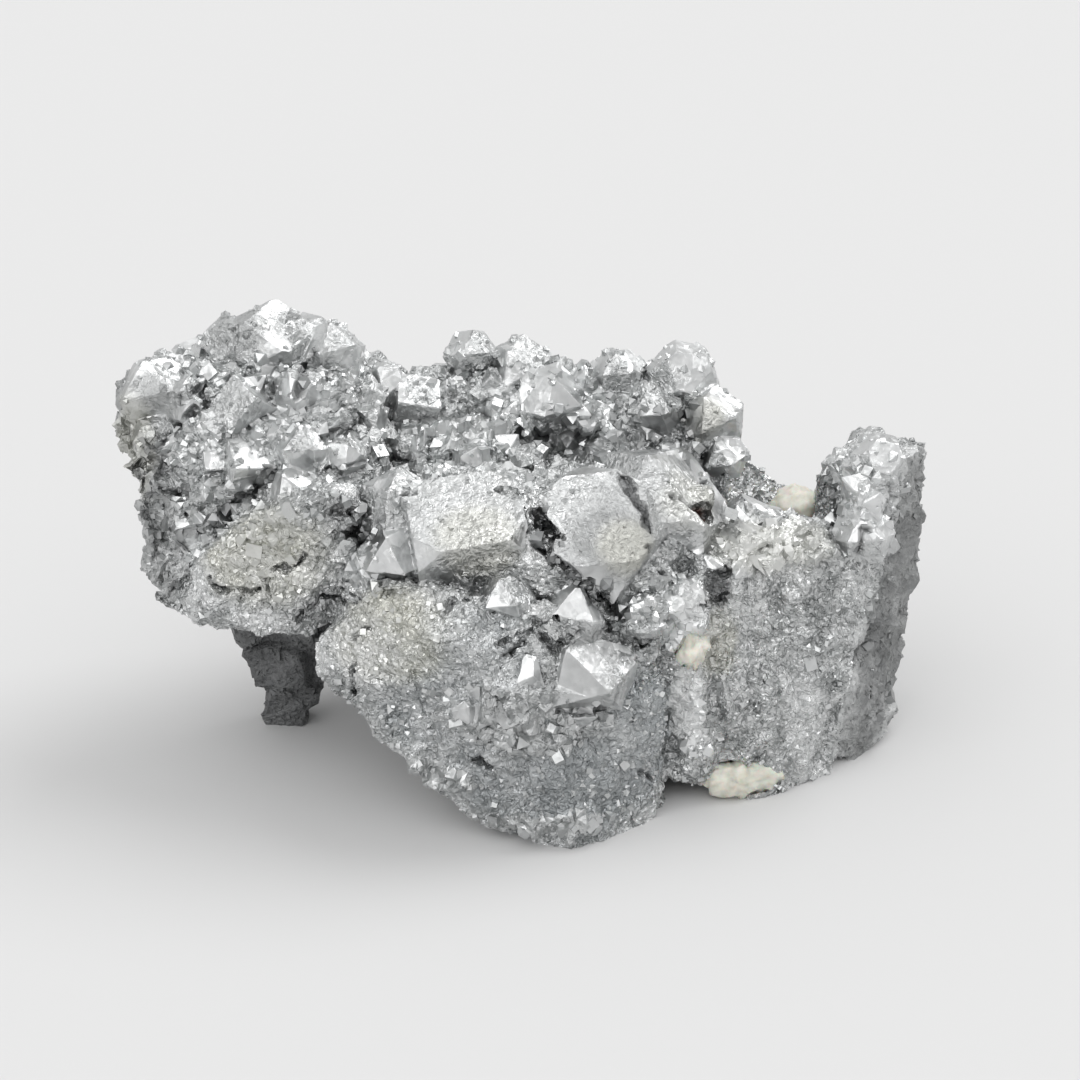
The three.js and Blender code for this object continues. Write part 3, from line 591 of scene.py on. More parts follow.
def ore_material():
    """Granular skutterudite, freshly broken: thousands of small metal facets that glint by turns."""
    colours = settings("colours")
    material, tree, where = empty_material("granular_skutterudite")
    blue, film, matt_and_shaded, bright, rust, painted_shade = (
        add(tree, "ShaderNodeAttribute", attribute_name=name).outputs["Fac"]
        for name in ("blue", "film", "matt_and_shaded", "bright", "rust", "painted_shade")
    )
    grain = 0.38 * MM
    grains = add(tree, "ShaderNodeTexVoronoi", {"Vector": where, "Scale": 1 / grain})
    single = add(tree, "ShaderNodeSeparateColor", {"Color": grains.outputs["Color"]})
    worms = add(tree, "ShaderNodeTexNoise", {
        "Vector": where, "Scale": 1 / (2.2 * grain), "Detail": 2.0, "Distortion": 1.4,
    })
    clumps = add(tree, "ShaderNodeTexNoise", {"Vector": where, "Scale": 1 / (2.6 * MM), "Detail": 4.0})
    broad = add(tree, "ShaderNodeTexNoise", {"Vector": where, "Scale": 1 / (8 * MM), "Detail": 2.0})
    # How dark each place is: by its own grain, by its clump of grains and by the broad clouds.
    clumped = add(tree, "ShaderNodeMapRange", {"Value": clumps, 1: 0.36, 2: 0.64, 3: -0.15, 4: 0.65})
    clouded = add(tree, "ShaderNodeMapRange", {"Value": broad, 1: 0.38, 2: 0.62, 3: -0.25, 4: 0.3})
    shade = add(tree, "ShaderNodeMath", {0: single, 1: 0.4, 2: clumped}, operation="MULTIPLY_ADD")
    shade = add(tree, "ShaderNodeMath", {0: shade, 1: clouded}, operation="ADD", use_clamp=True)
    patchy = add(tree, "ShaderNodeMapRange", {"Value": broad, 1: 0.35, 2: 0.6, 3: 0.35, 4: 1.0})
    thick, thin = (
        add(tree, "ShaderNodeMath", {0: patchy, 1: most}, operation="MULTIPLY") for most in (0.85, 0.75)
    )
    colour = layered(tree, tuple(colours.ore), (
        (shade, 1.0, colours.ore_shade),
        (blue, thick, colours.blue),
        (film, thin, colours.film),
        # the matt ore's colour, partly painted shade
        (matt_and_shaded, thick, colours.matt_and_shaded),
        # painted highlight on the bright crests
        (bright, 1.0, colours.crystal),
        (rust, 1.0, colours.rust),
        # painted shade in the hollows and the cracks
        (painted_shade, 1.0, colours.painted_shade),
    ))
    varied = add(tree, "ShaderNodeMapRange", {"Value": single.outputs[1], 3: 0.22, 4: 0.5})
    roughness = add(tree, "ShaderNodeMath", {0: matt_and_shaded, 1: 0.28, 2: varied}, operation="MULTIPLY_ADD")
    metallic = add(tree, "ShaderNodeMath", {0: matt_and_shaded, 1: -0.45, 2: 0.95}, operation="MULTIPLY_ADD")
    # The bright crests lose some of their metal, so that they show white under the key light: a painted
    # highlight.
    metallic = add(
        tree, "ShaderNodeMath", {0: bright, 1: -0.45, 2: metallic}, operation="MULTIPLY_ADD", use_clamp=True
    )
    bump = add(tree, "ShaderNodeBump", {
        "Height": worms, "Strength": 1.0, "Distance": 0.45 * MM,
        "Normal": tilted_normal(tree, grains.outputs["Color"], 0.5),
    })
    surfaced(tree, {
        "Base Color": colour, "Metallic": metallic, "Roughness": roughness, "Normal": bump,
    })
    return material


def calcite_material():
    """Calcite: cream white, waxy and a little see-through, so light softens inside it."""
    colours = settings("colours")
    material, tree, where = empty_material("waxy_calcite")
    clouds = add(tree, "ShaderNodeTexNoise", {"Vector": where, "Scale": 1 / (1.6 * MM), "Detail": 4.0})
    stain = add(tree, "ShaderNodeMapRange", {"Value": clouds, 1: 0.42, 2: 0.7})
    bump = add(tree, "ShaderNodeBump", {"Height": clouds, "Strength": 0.5, "Distance": 0.15 * MM})
    surfaced(tree, {
        "Base Color": layered(tree, tuple(colours.calcite), [(stain, 1.0, colours.calcite_stain)]),
        "Roughness": 0.42, "IOR": 1.55, "Normal": bump,
        "Subsurface Weight": 0.35, "Subsurface Scale": 0.8 * MM,
    })
    return material


# ---- the ore ----


def coplanar_groups(bm):
    """The mesh's flat faces, each a list of the triangles that lie in one plane and touch."""
    same_plane = math.cos(0.003)  # the angle is in radians
    grouped = set()
    groups = []
    for start in bm.faces:
        if start in grouped:
            continue
        group = [start]
        grouped.add(start)
        for face in group:
            for edge in face.edges:
                for other in edge.link_faces:
                    if other not in grouped and other.normal.dot(start.normal) > same_plane:
                        grouped.add(other)
                        group.append(other)
        groups.append(group)
    return groups


def mean_normal(group):
    """The normal of a flat group of triangles, the larger ones counting for more."""
    return sum((f.normal * f.calc_area() for f in group), Vector()).normalized()


def mark_crystals(bm, etched_share, rng):
    """Sets each face's kind: crystal faces meet another at an angle of the cubic system."""
    groups = coplanar_groups(bm)
    normals = [mean_normal(group) for group in groups]
    number = {face: i for i, group in enumerate(groups) for face in group}
    angles = [math.radians(angle) for angle in CUBIC_ANGLES]
    tolerance = math.radians(0.04)
    smallest = 0.02 * MM * MM  # a face below this area tells nothing
    sizes = [sum(f.calc_area() for f in group) for group in groups]
    met = [0] * len(groups)
    for edge in bm.edges:
        one, other = (number[face] for face in edge.link_faces)
        if one == other or min(sizes[one], sizes[other]) < smallest:
            continue
        angle = normals[one].angle(normals[other])
        if any(abs(angle - cubic) < tolerance for cubic in angles):
            met[one] += 1
            met[other] += 1
    for group, count in zip(groups, met):
        kind = ORE
        if count:
            kind = ETCHED if rng.random() < etched_share else MIRROR
        for face in group:
            face.material_index = kind


def modified(mesh, *steps):
    """A copy of the mesh with modifiers applied, each given as its kind and its settings."""
    holder = bpy.data.objects.new("holder", mesh)
    bpy.context.scene.collection.objects.link(holder)
    for kind, options in steps:
        modifier = holder.modifiers.new(kind, kind)
        for name, value in options.items():
            setattr(modifier, name, value)
    evaluated = holder.evaluated_get(bpy.context.evaluated_depsgraph_get())
    result = bpy.data.meshes.new_from_object(evaluated)
    bpy.data.objects.remove(holder)
    return result


def spots_on(mesh, density, tries, pick_size, room, rng):
    """Spots scattered over a mesh, denser where density is high, as (point, normal, size, vertex).

    No two are nearer than room times the mean of their sizes.
    """
    triangles = np.empty(len(mesh.loop_triangles) * 3, np.int32)
    mesh.loop_triangles.foreach_get("vertices", triangles)
    triangles = triangles.reshape(-1, 3)
    points = positions(mesh)
    a, b, c = (points[triangles[:, i]] for i in range(3))
    across = np.cross(b - a, c - a)
    area = np.linalg.norm(across, axis=1)
    weight = area * density[triangles].mean(axis=1)
    chosen = rng.choice(len(triangles), tries, p=weight / weight.sum())
    u, v = rng.random(tries), rng.random(tries)
    folded = u + v > 1
    u[folded], v[folded] = 1 - u[folded], 1 - v[folded]
    found = a[chosen] + u[:, None] * (b - a)[chosen] + v[:, None] * (c - a)[chosen]
    normals = across[chosen] / area[chosen][:, None]
    sizes = pick_size(rng.random(tries))
    cell = room * sizes.max()
    taken = {}
    spots = []
    for i in np.argsort(-sizes, kind="stable"):
        key = tuple(int(math.floor(x / cell)) for x in found[i])
        near = (
            j
            for dx in (-1, 0, 1) for dy in (-1, 0, 1) for dz in (-1, 0, 1)
            for j in taken.get((key[0] + dx, key[1] + dy, key[2] + dz), ())
        )
        if all(math.dist(found[i], found[j]) > room * (sizes[i] + sizes[j]) / 2 for j in near):
            taken.setdefault(key, []).append(i)
            spots.append((found[i], normals[i], sizes[i], triangles[chosen[i], 0]))
    return spots


def chipped(point, size, lean):
    """Height of a surface of flat chips, each tipped its own way. The point is in metres.

    The two factors on a chip's middle only keep its tip and its step from going together.
    """
    scaled = point / size
    _, middles = noise.voronoi(scaled)
    tip = noise.cell_vector(middles[0] * 17.3) - Vector((0.5, 0.5, 0.5))
    step = noise.cell(middles[0] * 9.7)
    return lean * tip.dot(scaled - middles[0]) + 0.5 * step


def openness(tree, point, normal, reach, directions):
    """Share of the sky that a point sees, within a reach."""
    turn = Vector((0, 0, 1)).rotation_difference(normal)
    start = point + normal * (0.12 * MM)  # clear of the point's own faces
    blocked = 0.0
    for direction in directions:
        hit = tree.ray_cast(start, turn @ direction, reach)
        if hit[0] is not None:
            blocked += 1 - 0.5 * hit[3] / reach
    return 1 - blocked / len(directions)


def dome_directions(count):
    """Directions spread evenly over the upper half of a ball, most near the pole."""
    turns = math.pi * (3 - math.sqrt(5))
    found = []
    for i in range(count):
        flat = math.sqrt((i + 0.5) / count)
        up = math.sqrt(1 - flat * flat)
        found.append(Vector((flat * math.cos(i * turns), flat * math.sin(i * turns), up)))
    return found


def kinds_near(faces, solid, kinds):
    """Each face's kind, from the solid's nearest face: a crystal's only where it still fits that."""
    found = []
    for face in faces:
        _, flat, index, away = solid.find_nearest(face.center)
        kind = kinds[index]
        if kind == MIRROR and (away > CRYSTAL_SLACK or flat.dot(face.normal) < 0.9):
            kind = ORE
        found.append(kind)
    return found


def softened_normals(mesh, rounds):
    """The points' normals, each evened out with its neighbours'."""
    normals = np.empty(len(mesh.vertices) * 3, np.float32)
    mesh.vertex_normals.foreach_get("vector", normals)
    normals = normals.reshape(-1, 3).astype(float)
    edges = np.empty(len(mesh.edges) * 2, np.int32)
    mesh.edges.foreach_get("vertices", edges)
    one, other = edges.reshape(-1, 2).T
    for _ in range(rounds):
        total = normals.copy()
        for axis in range(3):
            total[:, axis] += np.bincount(one, normals[other, axis], len(normals))
            total[:, axis] += np.bincount(other, normals[one, axis], len(normals))
        normals = total / np.linalg.norm(total, axis=1)[:, None]
    return normals


def grouped_by_place(points, size):
    """The points' numbers, grouped by the cube of space each lies in."""
    keys = np.floor(points / size).astype(int)
    order = np.lexsort(keys.T)
    breaks = np.flatnonzero(np.any(np.diff(keys[order], axis=0), axis=1)) + 1
    return {tuple(keys[group[0]].tolist()): group for group in np.split(order, breaks)}


# What a block's faces look along: three pairs of a cube's, then four of an octahedron's.
BLOCK_AXES = np.array(
    [(1, 0, 0), (0, 1, 0), (0, 0, 1), (1, 1, 1), (1, 1, -1), (1, -1, 1), (-1, 1, 1)], float
)
BLOCK_AXES /= np.linalg.norm(BLOCK_AXES, axis=1)[:, None]


def grown_blocks(points, normals, spots, height, rng):
    """Raises blocks of crystal out of a surface, each turned its own way and grown into the next.

    Returns how far they stand out at each point, and the number of the block on top, or -1.
    """
    reach = 2 * max(size for _, _, size, _ in spots)
    groups = grouped_by_place(points, reach)
    rise = np.zeros(len(points))
    top = np.full(len(points), -1)
    for number, (point, normal, size, _) in enumerate(spots):
        axes = BLOCK_AXES @ np.array(Euler(rng.random(3) * 2 * math.pi).to_matrix())
        widths = size * np.array([1, 1, 1, *[rng.uniform(1.15, 1.6)] * 4])
        peak = (widths / np.maximum(np.abs(axes @ normal), 0.001)).min()
        middle = point + normal * (size * height * rng.uniform(0.3, 1) - peak)
        x, y, z = np.floor(point / reach).astype(int).tolist()
        beside = ((x + i, y + j, z + k) for i in (-1, 0, 1) for j in (-1, 0, 1) for k in (-1, 0, 1))
        near = np.concatenate([groups[key] for key in beside if key in groups])
        away = (points[near] - middle) @ axes.T
        slope = normals[near] @ axes.T
        away *= np.where(slope > 0, 1.0, -1.0)
        slope = np.maximum(np.abs(slope), 0.001)
        leaves = ((widths - away) / slope).min(axis=1)
        enters = (-(widths + away) / slope).max(axis=1)
        leaves = np.minimum(leaves, 1.5 * size * height)
        higher = (leaves > enters) & (enters < 0.1 * MM) & (leaves > rise[near])
        rise[near[higher]] = leaves[higher]
        top[near[higher]] = number
    return rise, top


def bent(points):
    """The points, moved a little from side to side, so that a line through them wavers."""
    length, height = 2.1 * MM, 0.22 * MM
    waves = points[:, (1, 2, 0)] * (2 * math.pi / length)
    return points + height * np.sin(waves + 1.9 * np.sin(0.63 * waves[:, (2, 0, 1)]))


def along_lines(points, lines):
    """For each line, the numbers of the points near it and how near its middle they lie, up to 1."""
    for width, height, line in lines:
        ends = [np.array(place(point)) for point in line]
        closeness = np.zeros(len(points))
        for a, b in zip(ends, ends[1:]):
            low, high = np.minimum(a, b) - width * MM, np.maximum(a, b) + width * MM
            near = np.flatnonzero(np.all((points > low) & (points < high), axis=1))
            share = np.clip((points[near] - a) @ (b - a) / ((b - a) @ (b - a)), 0, 1)
            away = np.linalg.norm(points[near] - a - share[:, None] * (b - a), axis=1)
            closeness[near] = np.maximum(closeness[near], 1 - away / (width * MM))
        near = np.flatnonzero(closeness)
        yield height * MM, near, closeness[near]


def crack_depths(points):
    """How deep the cracks cut at each point, in metres."""
    found = np.zeros(len(points))
    for depth, near, closeness in along_lines(bent(points), CRACKS):
        found[near] = np.maximum(found[near], depth * closeness)
    return found


def fold_heights(points):
    """How far the folds raise or sink each point, in metres."""
    found = np.zeros(len(points))
    for height, near, closeness in along_lines(bent(points), FOLDS):
        found[near] += height * closeness**2 * (3 - 2 * closeness)
    return found


def clearance(points, chosen, tree, reach):
    """How far each chosen point is from the tree's faces, as a share of the reach, up to 1."""
    found = np.ones(len(points))
    for i in np.flatnonzero(chosen):
        away = tree.find_nearest(points[i], reach)[3]
        if away is not None:
            found[i] = away / reach
    return found


def rough_relief(at, ore, druse, plain):
    """How far the ore's roughness stands out at each place, in metres.

    Returns the broad forms, the fine ones, and what pits an etched crystal face.
    """
    lumps = ore.lump_height * np.array([noise.fractal(point / LUMP_WIDTH, 0.9, 2.0, 2) for point in at])
    swells = 1.3 * ore.lump_height * np.array([noise.noise(point / SWELL_WIDTH) for point in at])
    chips = ore.chip_height * np.array([0.65 * chipped(point, CHIP_WIDTH, 1.6) for point in at])
    bits = ore.chip_height * np.array([0.35 * chipped(point, BIT_WIDTH, 1.8) for point in at])
    grains = ore.grain_height * np.array([noise.noise(point / GRAIN_WIDTH) for point in at])
    smooth = (1 - 0.75 * druse) * (1 - 0.4 * plain)
    return lumps + swells, smooth * (chips + bits + grains), 0.5 * bits + 0.6 * grains


def break_surface(mesh, solid, kinds, kept, ore):
    """Moves the ore's points in and out, and leaves the crystals' flat faces where they are."""
    rng = np.random.default_rng(ore.seed)
    points = positions(mesh)
    at = [Vector(point) for point in points]
    druse, etched_patch, rugged, plain, great = (
        patch_strength(points, kind) for kind in ("druse", "etched", "rugged", "plain", "great")
    )
    kind_at = np.array([kinds[solid.find_nearest(point)[2]] for point in at])
    is_ore = kind_at == ORE
    clear = clearance(points, is_ore, kept, CLEAR_REACH) ** 0.5
    blocky = np.maximum(druse, rugged) * (1 - plain)
    mesh.calc_loop_triangles()
    # Few blocks grow on the plain faces and the crystals, and none on the great crystals.
    room = np.where(is_ore, clear * (1 - 0.9 * plain), 0.1 * druse * (1 - great))
    blocks = spots_on(
        mesh, room * (0.3 + blocky), BLOCK_TRIES,
        lambda share: ore.block * (0.35 + 0.65 * share**1.5), BLOCK_ROOM, rng,
    )
    crystals = spots_on(
        mesh, room * (0.04 + druse), CRYSTAL_TRIES,
        lambda share: ore.crystal * (0.4 + 0.6 * share**2), CRYSTAL_ROOM, rng,
    )
    raw = softened_normals(mesh, 0)
    normals = softened_normals(mesh, SOFTENING)
    block_rise, block_top = grown_blocks(points, normals, blocks, BLOCK_RISE, rng)
    crystal_rise, crystal_top = grown_blocks(points, normals, crystals, CRYSTAL_RISE, rng)
    blocks_here = (0.4 + 0.6 * blocky) * (1 - plain) * block_rise
    crystals_here = (0.2 + 0.8 * druse) * crystal_rise

    cracks = crack_depths(points)
    folds = fold_heights(points)
    broad, fine, pitting = rough_relief(at, ore, druse, plain)
    out = broad + folds + fine
    out += blocks_here + crystals_here - SUNK * (1 - 0.8 * druse)
    # Beside a crystal or the calcite the ore stands no further out than the solid does.
    out = np.minimum(out, folds + (out - folds) * clear) - cracks
    etch = np.maximum(etched_patch, 0.7 * (kind_at == ETCHED))
    etch_out = etch * pitting - 0.5 * cracks
    carried = normals * folds[:, None] + raw * etch_out[:, None]
    moved = points + np.where(is_ore[:, None], normals * out[:, None], carried)
    moved[:, 2] = np.maximum(moved[:, 2], 0)
    moved = np.where(points[:, 2:] < SOLE, points, moved)

    # Each block and each crystal has one tint, and nearly half of them are etched.
    number = np.where(crystals_here > SEEN, len(blocks) + crystal_top, block_top)
    number[~is_ore] = -1
    draw = rng.random(len(blocks) + len(crystals) + 1)
    draw[-1] = 0.0
    on_block = number >= 0
    mesh.vertices.foreach_set("co", moved.astype(np.float32).ravel())
    mesh.update()
    etched = np.where(on_block & (draw[number] * 7.3 % 1 < 0.45), 0.85, 0.8 * (kind_at == ETCHED))
    # How deep each point lies in a crack, for the shade painted there.
    write_attribute(mesh, "crack", np.clip(cracks / CRACK_DARK, 0, 1))
    write_attribute(mesh, "tint", draw[number])
    write_attribute(mesh, "grown", np.clip(np.where(is_ore, on_block * 1.3 * druse, 1.0), 0, 1))
    write_attribute(mesh, "etched", np.maximum(etched, etched_patch))


def drop_crumbs(mesh):
    """Deletes every part of the mesh that does not hang together with its largest one."""
    bm = bmesh.new()
    bm.from_mesh(mesh)
    left = set(bm.faces)
    parts = []
    while left:
        part = [left.pop()]
        for face in part:
            beside = {other for edge in face.edges for other in edge.link_faces} & left
            left -= beside
            part += beside
        parts.append(part)
    parts.sort(key=len)
    bmesh.ops.delete(bm, geom=[face for part in parts[:-1] for face in part], context="FACES")
    bm.to_mesh(mesh)
    bm.free()


def kept_faces(bm):
    """A tree of the faces that no ore may bury: the crystals' own and the calcite's."""
    corners = [v.co.copy() for v in bm.verts]
    still = [[v.index for v in face.verts] for face in bm.faces if face.material_index != ORE]
    for node in CALCITE:
        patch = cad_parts[node].data
        still += [[len(corners) + i for i in face.vertices] for face in patch.polygons]
        corners += [v.co.copy() for v in patch.vertices]
    return BVHTree.FromPolygons(corners, still)


def filled(bm):
    """A mesh of the solid with the lumps that fill its gaps."""
    for middle, radii in FILLS:
        ball = bmesh.ops.create_icosphere(bm, subdivisions=3, radius=1.0)["verts"]
        bmesh.ops.scale(bm, vec=Vector(radii) * MM, verts=ball)
        bmesh.ops.translate(bm, vec=place(middle), verts=ball)
    mesh = bpy.data.meshes.new("solid_ore")
    bm.to_mesh(mesh)
    bm.free()
    return mesh


def choose_materials(mesh, kinds):
    """Gives each face granular ore or crystal, and marks the points that crystals hold as grown."""
    mesh.materials.clear()
    mesh.materials.append(ore_material())
    mesh.materials.append(crystal_material())
    grown = host_values(mesh, "grown")
    crystalline = [
        int(kind != ORE or grown[list(face.vertices)].mean() > 0.5)
        for kind, face in zip(kinds, mesh.polygons)
    ]
    mesh.polygons.foreach_set("material_index", crystalline)
    mesh.polygons.foreach_set("use_smooth", [False] * len(kinds))
    for face, kind in zip(mesh.polygons, kinds):
        if kind == MIRROR:
            grown[list(face.vertices)] = 1.0
    mesh.attributes["grown"].data.foreach_set("value", grown.astype(np.float32))


def darken_hollows(mesh):
    """Paints shade into the points' colour: in hollows, by how little of the sky each point sees, in cracks
    and in the dark patches.
    """
    broken = BVHTree.FromPolygons([v.co for v in mesh.vertices], [f.vertices for f in mesh.polygons])
    directions = dome_directions(9)
    open_sky = [openness(broken, v.co, v.normal, HOLLOW_REACH, directions) for v in mesh.vertices]
    painted_shade = np.clip(DARKEST_PAINTED_SHADE - np.array(open_sky), 0, DARKEST_PAINTED_SHADE)
    painted_shade = np.maximum(painted_shade, DARKEST_PAINTED_SHADE * host_values(mesh, "crack"))
    write_attribute(mesh, "painted_shade", np.maximum(painted_shade, host_values(mesh, "dark")))


class SPECIMEN_OT_ore(bpy.types.Operator):
    """Breaks the solid ore into granular faces and leaves its crystals sharp"""

    bl_idname = "specimen.ore"
    bl_label = "Ore"

    def execute(self, context):
        ore = settings("ore")
        bm = merged_copy("skutterudite_mass")
        mark_crystals(bm, ore.etched_share, random.Random(ore.seed))
        bm.verts.index_update()
        solid = BVHTree.FromBMesh(bm)
        kinds = [face.material_index for face in bm.faces]
        kept = kept_faces(bm)
        coarse = filled(bm)
        fine = modified(coarse, ("REMESH", {"mode": "VOXEL", "voxel_size": ore.voxel}))
        break_surface(fine, solid, kinds, kept, ore)
        share = ore.triangles / (2 * len(fine.polygons))
        mesh = modified(fine, ("TRIANGULATE", {}), ("DECIMATE", {"ratio": min(1.0, share)}))
        drop_crumbs(mesh)
        mesh.name = "ore"
        choose_materials(mesh, kinds_near(mesh.polygons, solid, kinds))
        points = positions(mesh)
        for kind in PATCHES:
            if kind != "etched":
                write_attribute(mesh, kind, patch_strength(points, kind))
        darken_hollows(mesh)
        finished("ore", mesh, "skutterudite", "skutterudite_mass")
        return {"FINISHED"}


# ---- the crust of small crystals ----


def cube_template():
    """A cube with a half-width of one."""
    bm = bmesh.new()
    bmesh.ops.create_cube(bm, size=2.0)
    return bm


def cuboctahedron_template():
    """A cube with each corner cut off as far as the middles of its edges."""
    bm = cube_template()
    bmesh.ops.bevel(
        bm, geom=bm.verts, offset=1.0, offset_type="OFFSET", segments=1, profile=0.5,
        affect="VERTICES", clamp_overlap=True, material=-1,
    )
    bmesh.ops.remove_doubles(bm, verts=bm.verts, dist=0.01)
    return bm


def octahedron_template():
    """An octahedron: a ball of four meridians and one parallel."""
    bm = bmesh.new()
    bmesh.ops.create_uvsphere(bm, u_segments=4, v_segments=2, radius=1.35)
    return bm


def template_arrays(bm):
    """A template's corners and triangles."""
    bmesh.ops.triangulate(bm, faces=bm.faces)
    bm.verts.ensure_lookup_table()
    bm.verts.index_update()
    corners = np.array([v.co[:] for v in bm.verts])
    triangles = np.array([[v.index for v in f.verts] for f in bm.faces])
    bm.free()
    return corners, triangles


def crowd(name, templates, spots, stretch, rng, host):
    """One piece of many small crystals, each turned and tinted its own way."""
    corners, triangles, tints, carried = [], [], [], []
    total = 0
    for point, normal, size, vertex in spots:
        shape, faces = templates[rng.integers(len(templates))]
        turn = np.array(Euler(rng.random(3) * 2 * math.pi).to_matrix())
        sides = 1 + stretch * (rng.random(3) - 0.5)
        placed = (shape * sides * size) @ turn.T + point - normal * size * CRUST_SINK
        corners.append(placed)
        triangles.append(faces + total)
        tints.append(np.full(len(shape), rng.random() ** 1.5))
        carried.append(np.full(len(shape), vertex))
        total += len(shape)
    corners = np.concatenate(corners)
    corners[:, 2] = np.maximum(corners[:, 2], 0.02 * MM)
    carried = np.concatenate(carried)
    mesh = bpy.data.meshes.new(name)
    mesh.from_pydata(corners.tolist(), [], np.concatenate(triangles).tolist())
    # Each small crystal takes the patches of the ore under it, with their painted shade and painted
    # highlight.
    for kind in ("matt_and_shaded", "blue", "film", "rust", "bright", "etched"):
        write_attribute(mesh, kind, host_values(host, kind)[carried])
    # The small crystals carry the shade painted on the ore below them, three quarters as dark.
    write_attribute(mesh, "painted_shade", 0.75 * host_values(host, "painted_shade")[carried])
    write_attribute(mesh, "tint", np.concatenate(tints))
    mesh.materials.append(bpy.data.materials["skutterudite_crystal_face"])
    finished(name, mesh, "skutterudite")


class SPECIMEN_OT_crust(bpy.types.Operator):
    """Grows the crust of small crystals where they crowd together"""

    bl_idname = "specimen.crust"
    bl_label = "Crystal crust"

    def execute(self, context):
        crust = settings("crust")
        rng = np.random.default_rng(crust.seed)
        host = bpy.data.objects["ore"].data
        host.calc_loop_triangles()
        # Hardly any stand on a crystal's own faces, and few stand alone on the plain ore.
        bare = 1 - 0.93 * host_values(host, "grown")
        density = (host_values(host, "druse") ** 1.5 + 0.004) * bare
        span = crust.largest - crust.smallest
        spots = spots_on(
            host, density, crust.tries, lambda share: crust.smallest + span * share**3.2, 1.15, rng
        )
        templates = [
            template_arrays(make())
            for make in (cube_template, cuboctahedron_template, cuboctahedron_template, octahedron_template)
        ]
        crowd("crystal_crust", templates, spots, 0.5, rng, host)
        return {"FINISHED"}


class SPECIMEN_OT_grains(bpy.types.Operator):
    """Strews small bright grains over the broken ore"""

    bl_idname = "specimen.grains"
    bl_label = "Grains"

    def execute(self, context):
        crust = settings("crust")
        rng = np.random.default_rng(crust.seed + 1)
        host = bpy.data.objects["ore"].data
        host.calc_loop_triangles()
        clear = 1 - 0.7 * host_values(host, "matt_and_shaded")
        # Fewer grains lie where shade is painted into the hollows and the cracks.
        deep = 1 - 0.6 * host_values(host, "painted_shade")
        bare = 1 - 0.97 * host_values(host, "grown") * (1 - 0.2 * host_values(host, "etched"))
        spots = spots_on(
            host, clear * deep * bare, crust.grain_tries,
            lambda share: crust.grain * (0.5 + share**2), 1.7, rng,
        )
        templates = [template_arrays(cube_template()), template_arrays(octahedron_template())]
        crowd("ore_grains", templates, spots, 0.6, rng, host)
        return {"FINISHED"}


# ---- the calcite ----


def knobbly(bm, swell, relief):
    """Grows a solid a little and makes it uneven, as calcite breaks, and keeps it above the floor."""
    bm.normal_update()
    for vert in bm.verts:
        knobs = noise.fractal(vert.co / (1.4 * MM), 0.8, 2.0, 3)
        chips = chipped(vert.co, 1.3 * MM, 1.2)
        vert.co += vert.normal * (swell + relief * (knobs + chips))
        vert.co.z = max(vert.co.z, 0.0)


class SPECIMEN_OT_calcite(bpy.types.Operator):
    """Grows the calcite patches tight into the ore"""

    bl_idname = "specimen.calcite"
    bl_label = "Calcite"

    def execute(self, context):
        calcite = settings("calcite")
        material = calcite_material()
        for node in CALCITE:
            bm = merged_copy(node)
            bmesh.ops.subdivide_edges(bm, edges=bm.edges, cuts=5, use_grid_fill=True)
            bmesh.ops.triangulate(bm, faces=bm.faces)
            for _ in range(2):
                bmesh.ops.smooth_vert(
                    bm, verts=bm.verts, factor=0.5, use_axis_x=True, use_axis_y=True, use_axis_z=True
                )
            more = 0.7 * MM if node == "calcite_back" else 0.0
            knobbly(bm, calcite.swell + more, calcite.relief)
            for face in bm.faces:
                face.smooth = True
            mesh = bpy.data.meshes.new(node + "_grown")
            bm.to_mesh(mesh)
            bm.free()
            mesh.materials.append(material)
            finished(mesh.name, mesh, "calcite", node)
        return {"FINISHED"}


# ---- the stage ----


def soft_sun(name, towards, width, strength):
    """A large even light from far away, seen from the specimen in this direction."""
    data = bpy.data.lights.new(name, "SUN")
    data.energy = strength
    data.angle = math.radians(width)
    light = bpy.data.objects.new(name, data)
    bpy.context.scene.collection.objects.link(light)
    light.rotation_mode = "QUATERNION"
    light.rotation_quaternion = Vector(towards).to_track_quat("Z", "Y")


def paper_floor(stage):
    """A wide matt floor under the specimen."""
    bm = bmesh.new()
    bmesh.ops.create_grid(bm, x_segments=1, y_segments=1, size=3.0)
    mesh = bpy.data.meshes.new("floor")
    bm.to_mesh(mesh)
    bm.free()
    floor = bpy.data.objects.new("floor", mesh)
    bpy.context.scene.collection.objects.link(floor)
    material, tree, _ = empty_material("matt_paper_sweep")
    surfaced(tree, {"Base Color": tuple(stage.floor), "Roughness": 0.9, "Specular IOR Level": 0.2})
    mesh.materials.append(material)


def aimed_camera(stage):
    """The camera, which looks down at the specimen's front."""
    back = Vector((0, -math.cos(stage.elevation), math.sin(stage.elevation)))
    camera = bpy.data.objects.new("camera", bpy.data.cameras.new("camera"))
    bpy.context.scene.collection.objects.link(camera)
    camera.data.lens = stage.lens
    camera.data.sensor_width = 36
    camera.data.clip_start = 0.01
    camera.location = place(LOOKED_AT) + back * stage.distance
    camera.rotation_mode = "QUATERNION"
    camera.rotation_quaternion = (-back).to_track_quat("-Z", "Y")
    bpy.context.scene.camera = camera


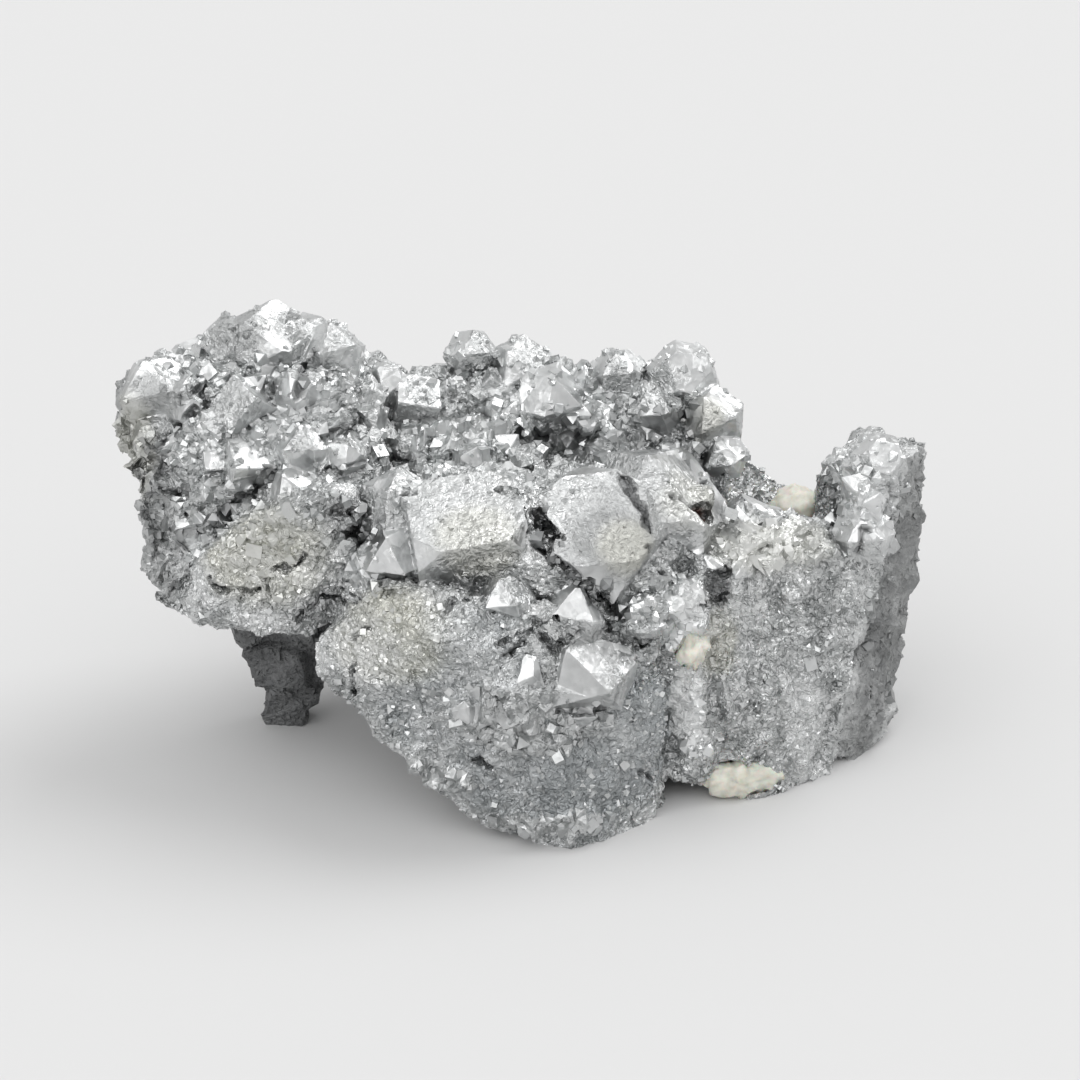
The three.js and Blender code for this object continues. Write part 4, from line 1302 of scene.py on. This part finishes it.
def pale_room(stage):
    """A pale room all around, brighter or darker towards some sides."""
    world = bpy.data.worlds.new("pale_room")
    bpy.context.scene.world = world
    world.use_nodes = True
    tree = world.node_tree
    tree.nodes.clear()
    way = add(tree, "ShaderNodeTexCoord").outputs["Generated"]
    unit = add(tree, "ShaderNodeVectorMath", {0: way}, operation="NORMALIZE")
    light = stage.sky
    for direction, inner, outer, gain in ROOM:
        middle = Vector(direction).normalized()
        aim = add(tree, "ShaderNodeVectorMath", {0: unit, 1: middle}, operation="DOT_PRODUCT")
        edges = {1: math.cos(math.radians(outer)), 2: math.cos(math.radians(inner)), 3: 0.0, 4: gain}
        edges["Value"] = aim.outputs["Value"]
        lobe = add(tree, "ShaderNodeMapRange", edges, interpolation_type="SMOOTHSTEP")
        light = add(tree, "ShaderNodeMath", {0: light, 1: lobe}, operation="ADD")
    background = add(tree, "ShaderNodeBackground", {"Color": (1, 1, 1, 1), "Strength": light})
    add(tree, "ShaderNodeOutputWorld", {"Surface": background})


class SPECIMEN_OT_stage(bpy.types.Operator):
    """Sets the floor, the camera and the studio light"""

    bl_idname = "specimen.stage"
    bl_label = "Stage"

    def execute(self, context):
        stage = settings("stage")
        paper_floor(stage)
        aimed_camera(stage)
        pale_room(stage)
        soft_sun("key_softbox", towards=(0.5, 0.35, 0.8), width=38, strength=1.2)
        soft_sun("front_softbox", towards=(-0.3, -0.55, 0.75), width=52, strength=0.45)
        context.scene.view_settings.view_transform = "Standard"
        return {"FINISHED"}


# ---- the add-on ----


class VIEW3D_PT_specimen(bpy.types.Panel):
    """Lists the specimen's pieces and its stage"""

    bl_label = "Skutterudite Specimen"
    bl_idname = "VIEW3D_PT_specimen"
    bl_space_type = "VIEW_3D"
    bl_region_type = "UI"
    bl_category = "Specimen"

    def draw(self, context):
        for operator in OPERATORS:
            self.layout.operator(operator.bl_idname)
        for name, group in GROUPS.items():
            box = self.layout.box()
            box.label(text=name.capitalize())
            for key in group.__annotations__:
                box.prop(settings(name), key)


GROUPS = {
    "ore": OreSettings,
    "crust": CrustSettings,
    "calcite": CalciteSettings,
    "colours": ColourSettings,
    "stage": StageSettings,
}
OPERATORS = (
    SPECIMEN_OT_stage,
    SPECIMEN_OT_ore,
    SPECIMEN_OT_crust,
    SPECIMEN_OT_grains,
    SPECIMEN_OT_calcite,
)


def register():
    for cls in (*GROUPS.values(), *OPERATORS, VIEW3D_PT_specimen):
        bpy.utils.register_class(cls)
    for name, group in GROUPS.items():
        setattr(bpy.types.Scene, "specimen_" + name, bpy.props.PointerProperty(type=group))


def unregister():
    for name in GROUPS:
        delattr(bpy.types.Scene, "specimen_" + name)
    for cls in reversed((*GROUPS.values(), *OPERATORS, VIEW3D_PT_specimen)):
        bpy.utils.unregister_class(cls)


def main():
    """Makes the stage and every piece."""
    register()
    bpy.ops.specimen.stage()
    bpy.ops.specimen.ore()
    bpy.ops.specimen.crust()
    bpy.ops.specimen.grains()
    bpy.ops.specimen.calcite()


if __name__ == "__main__":
    main()
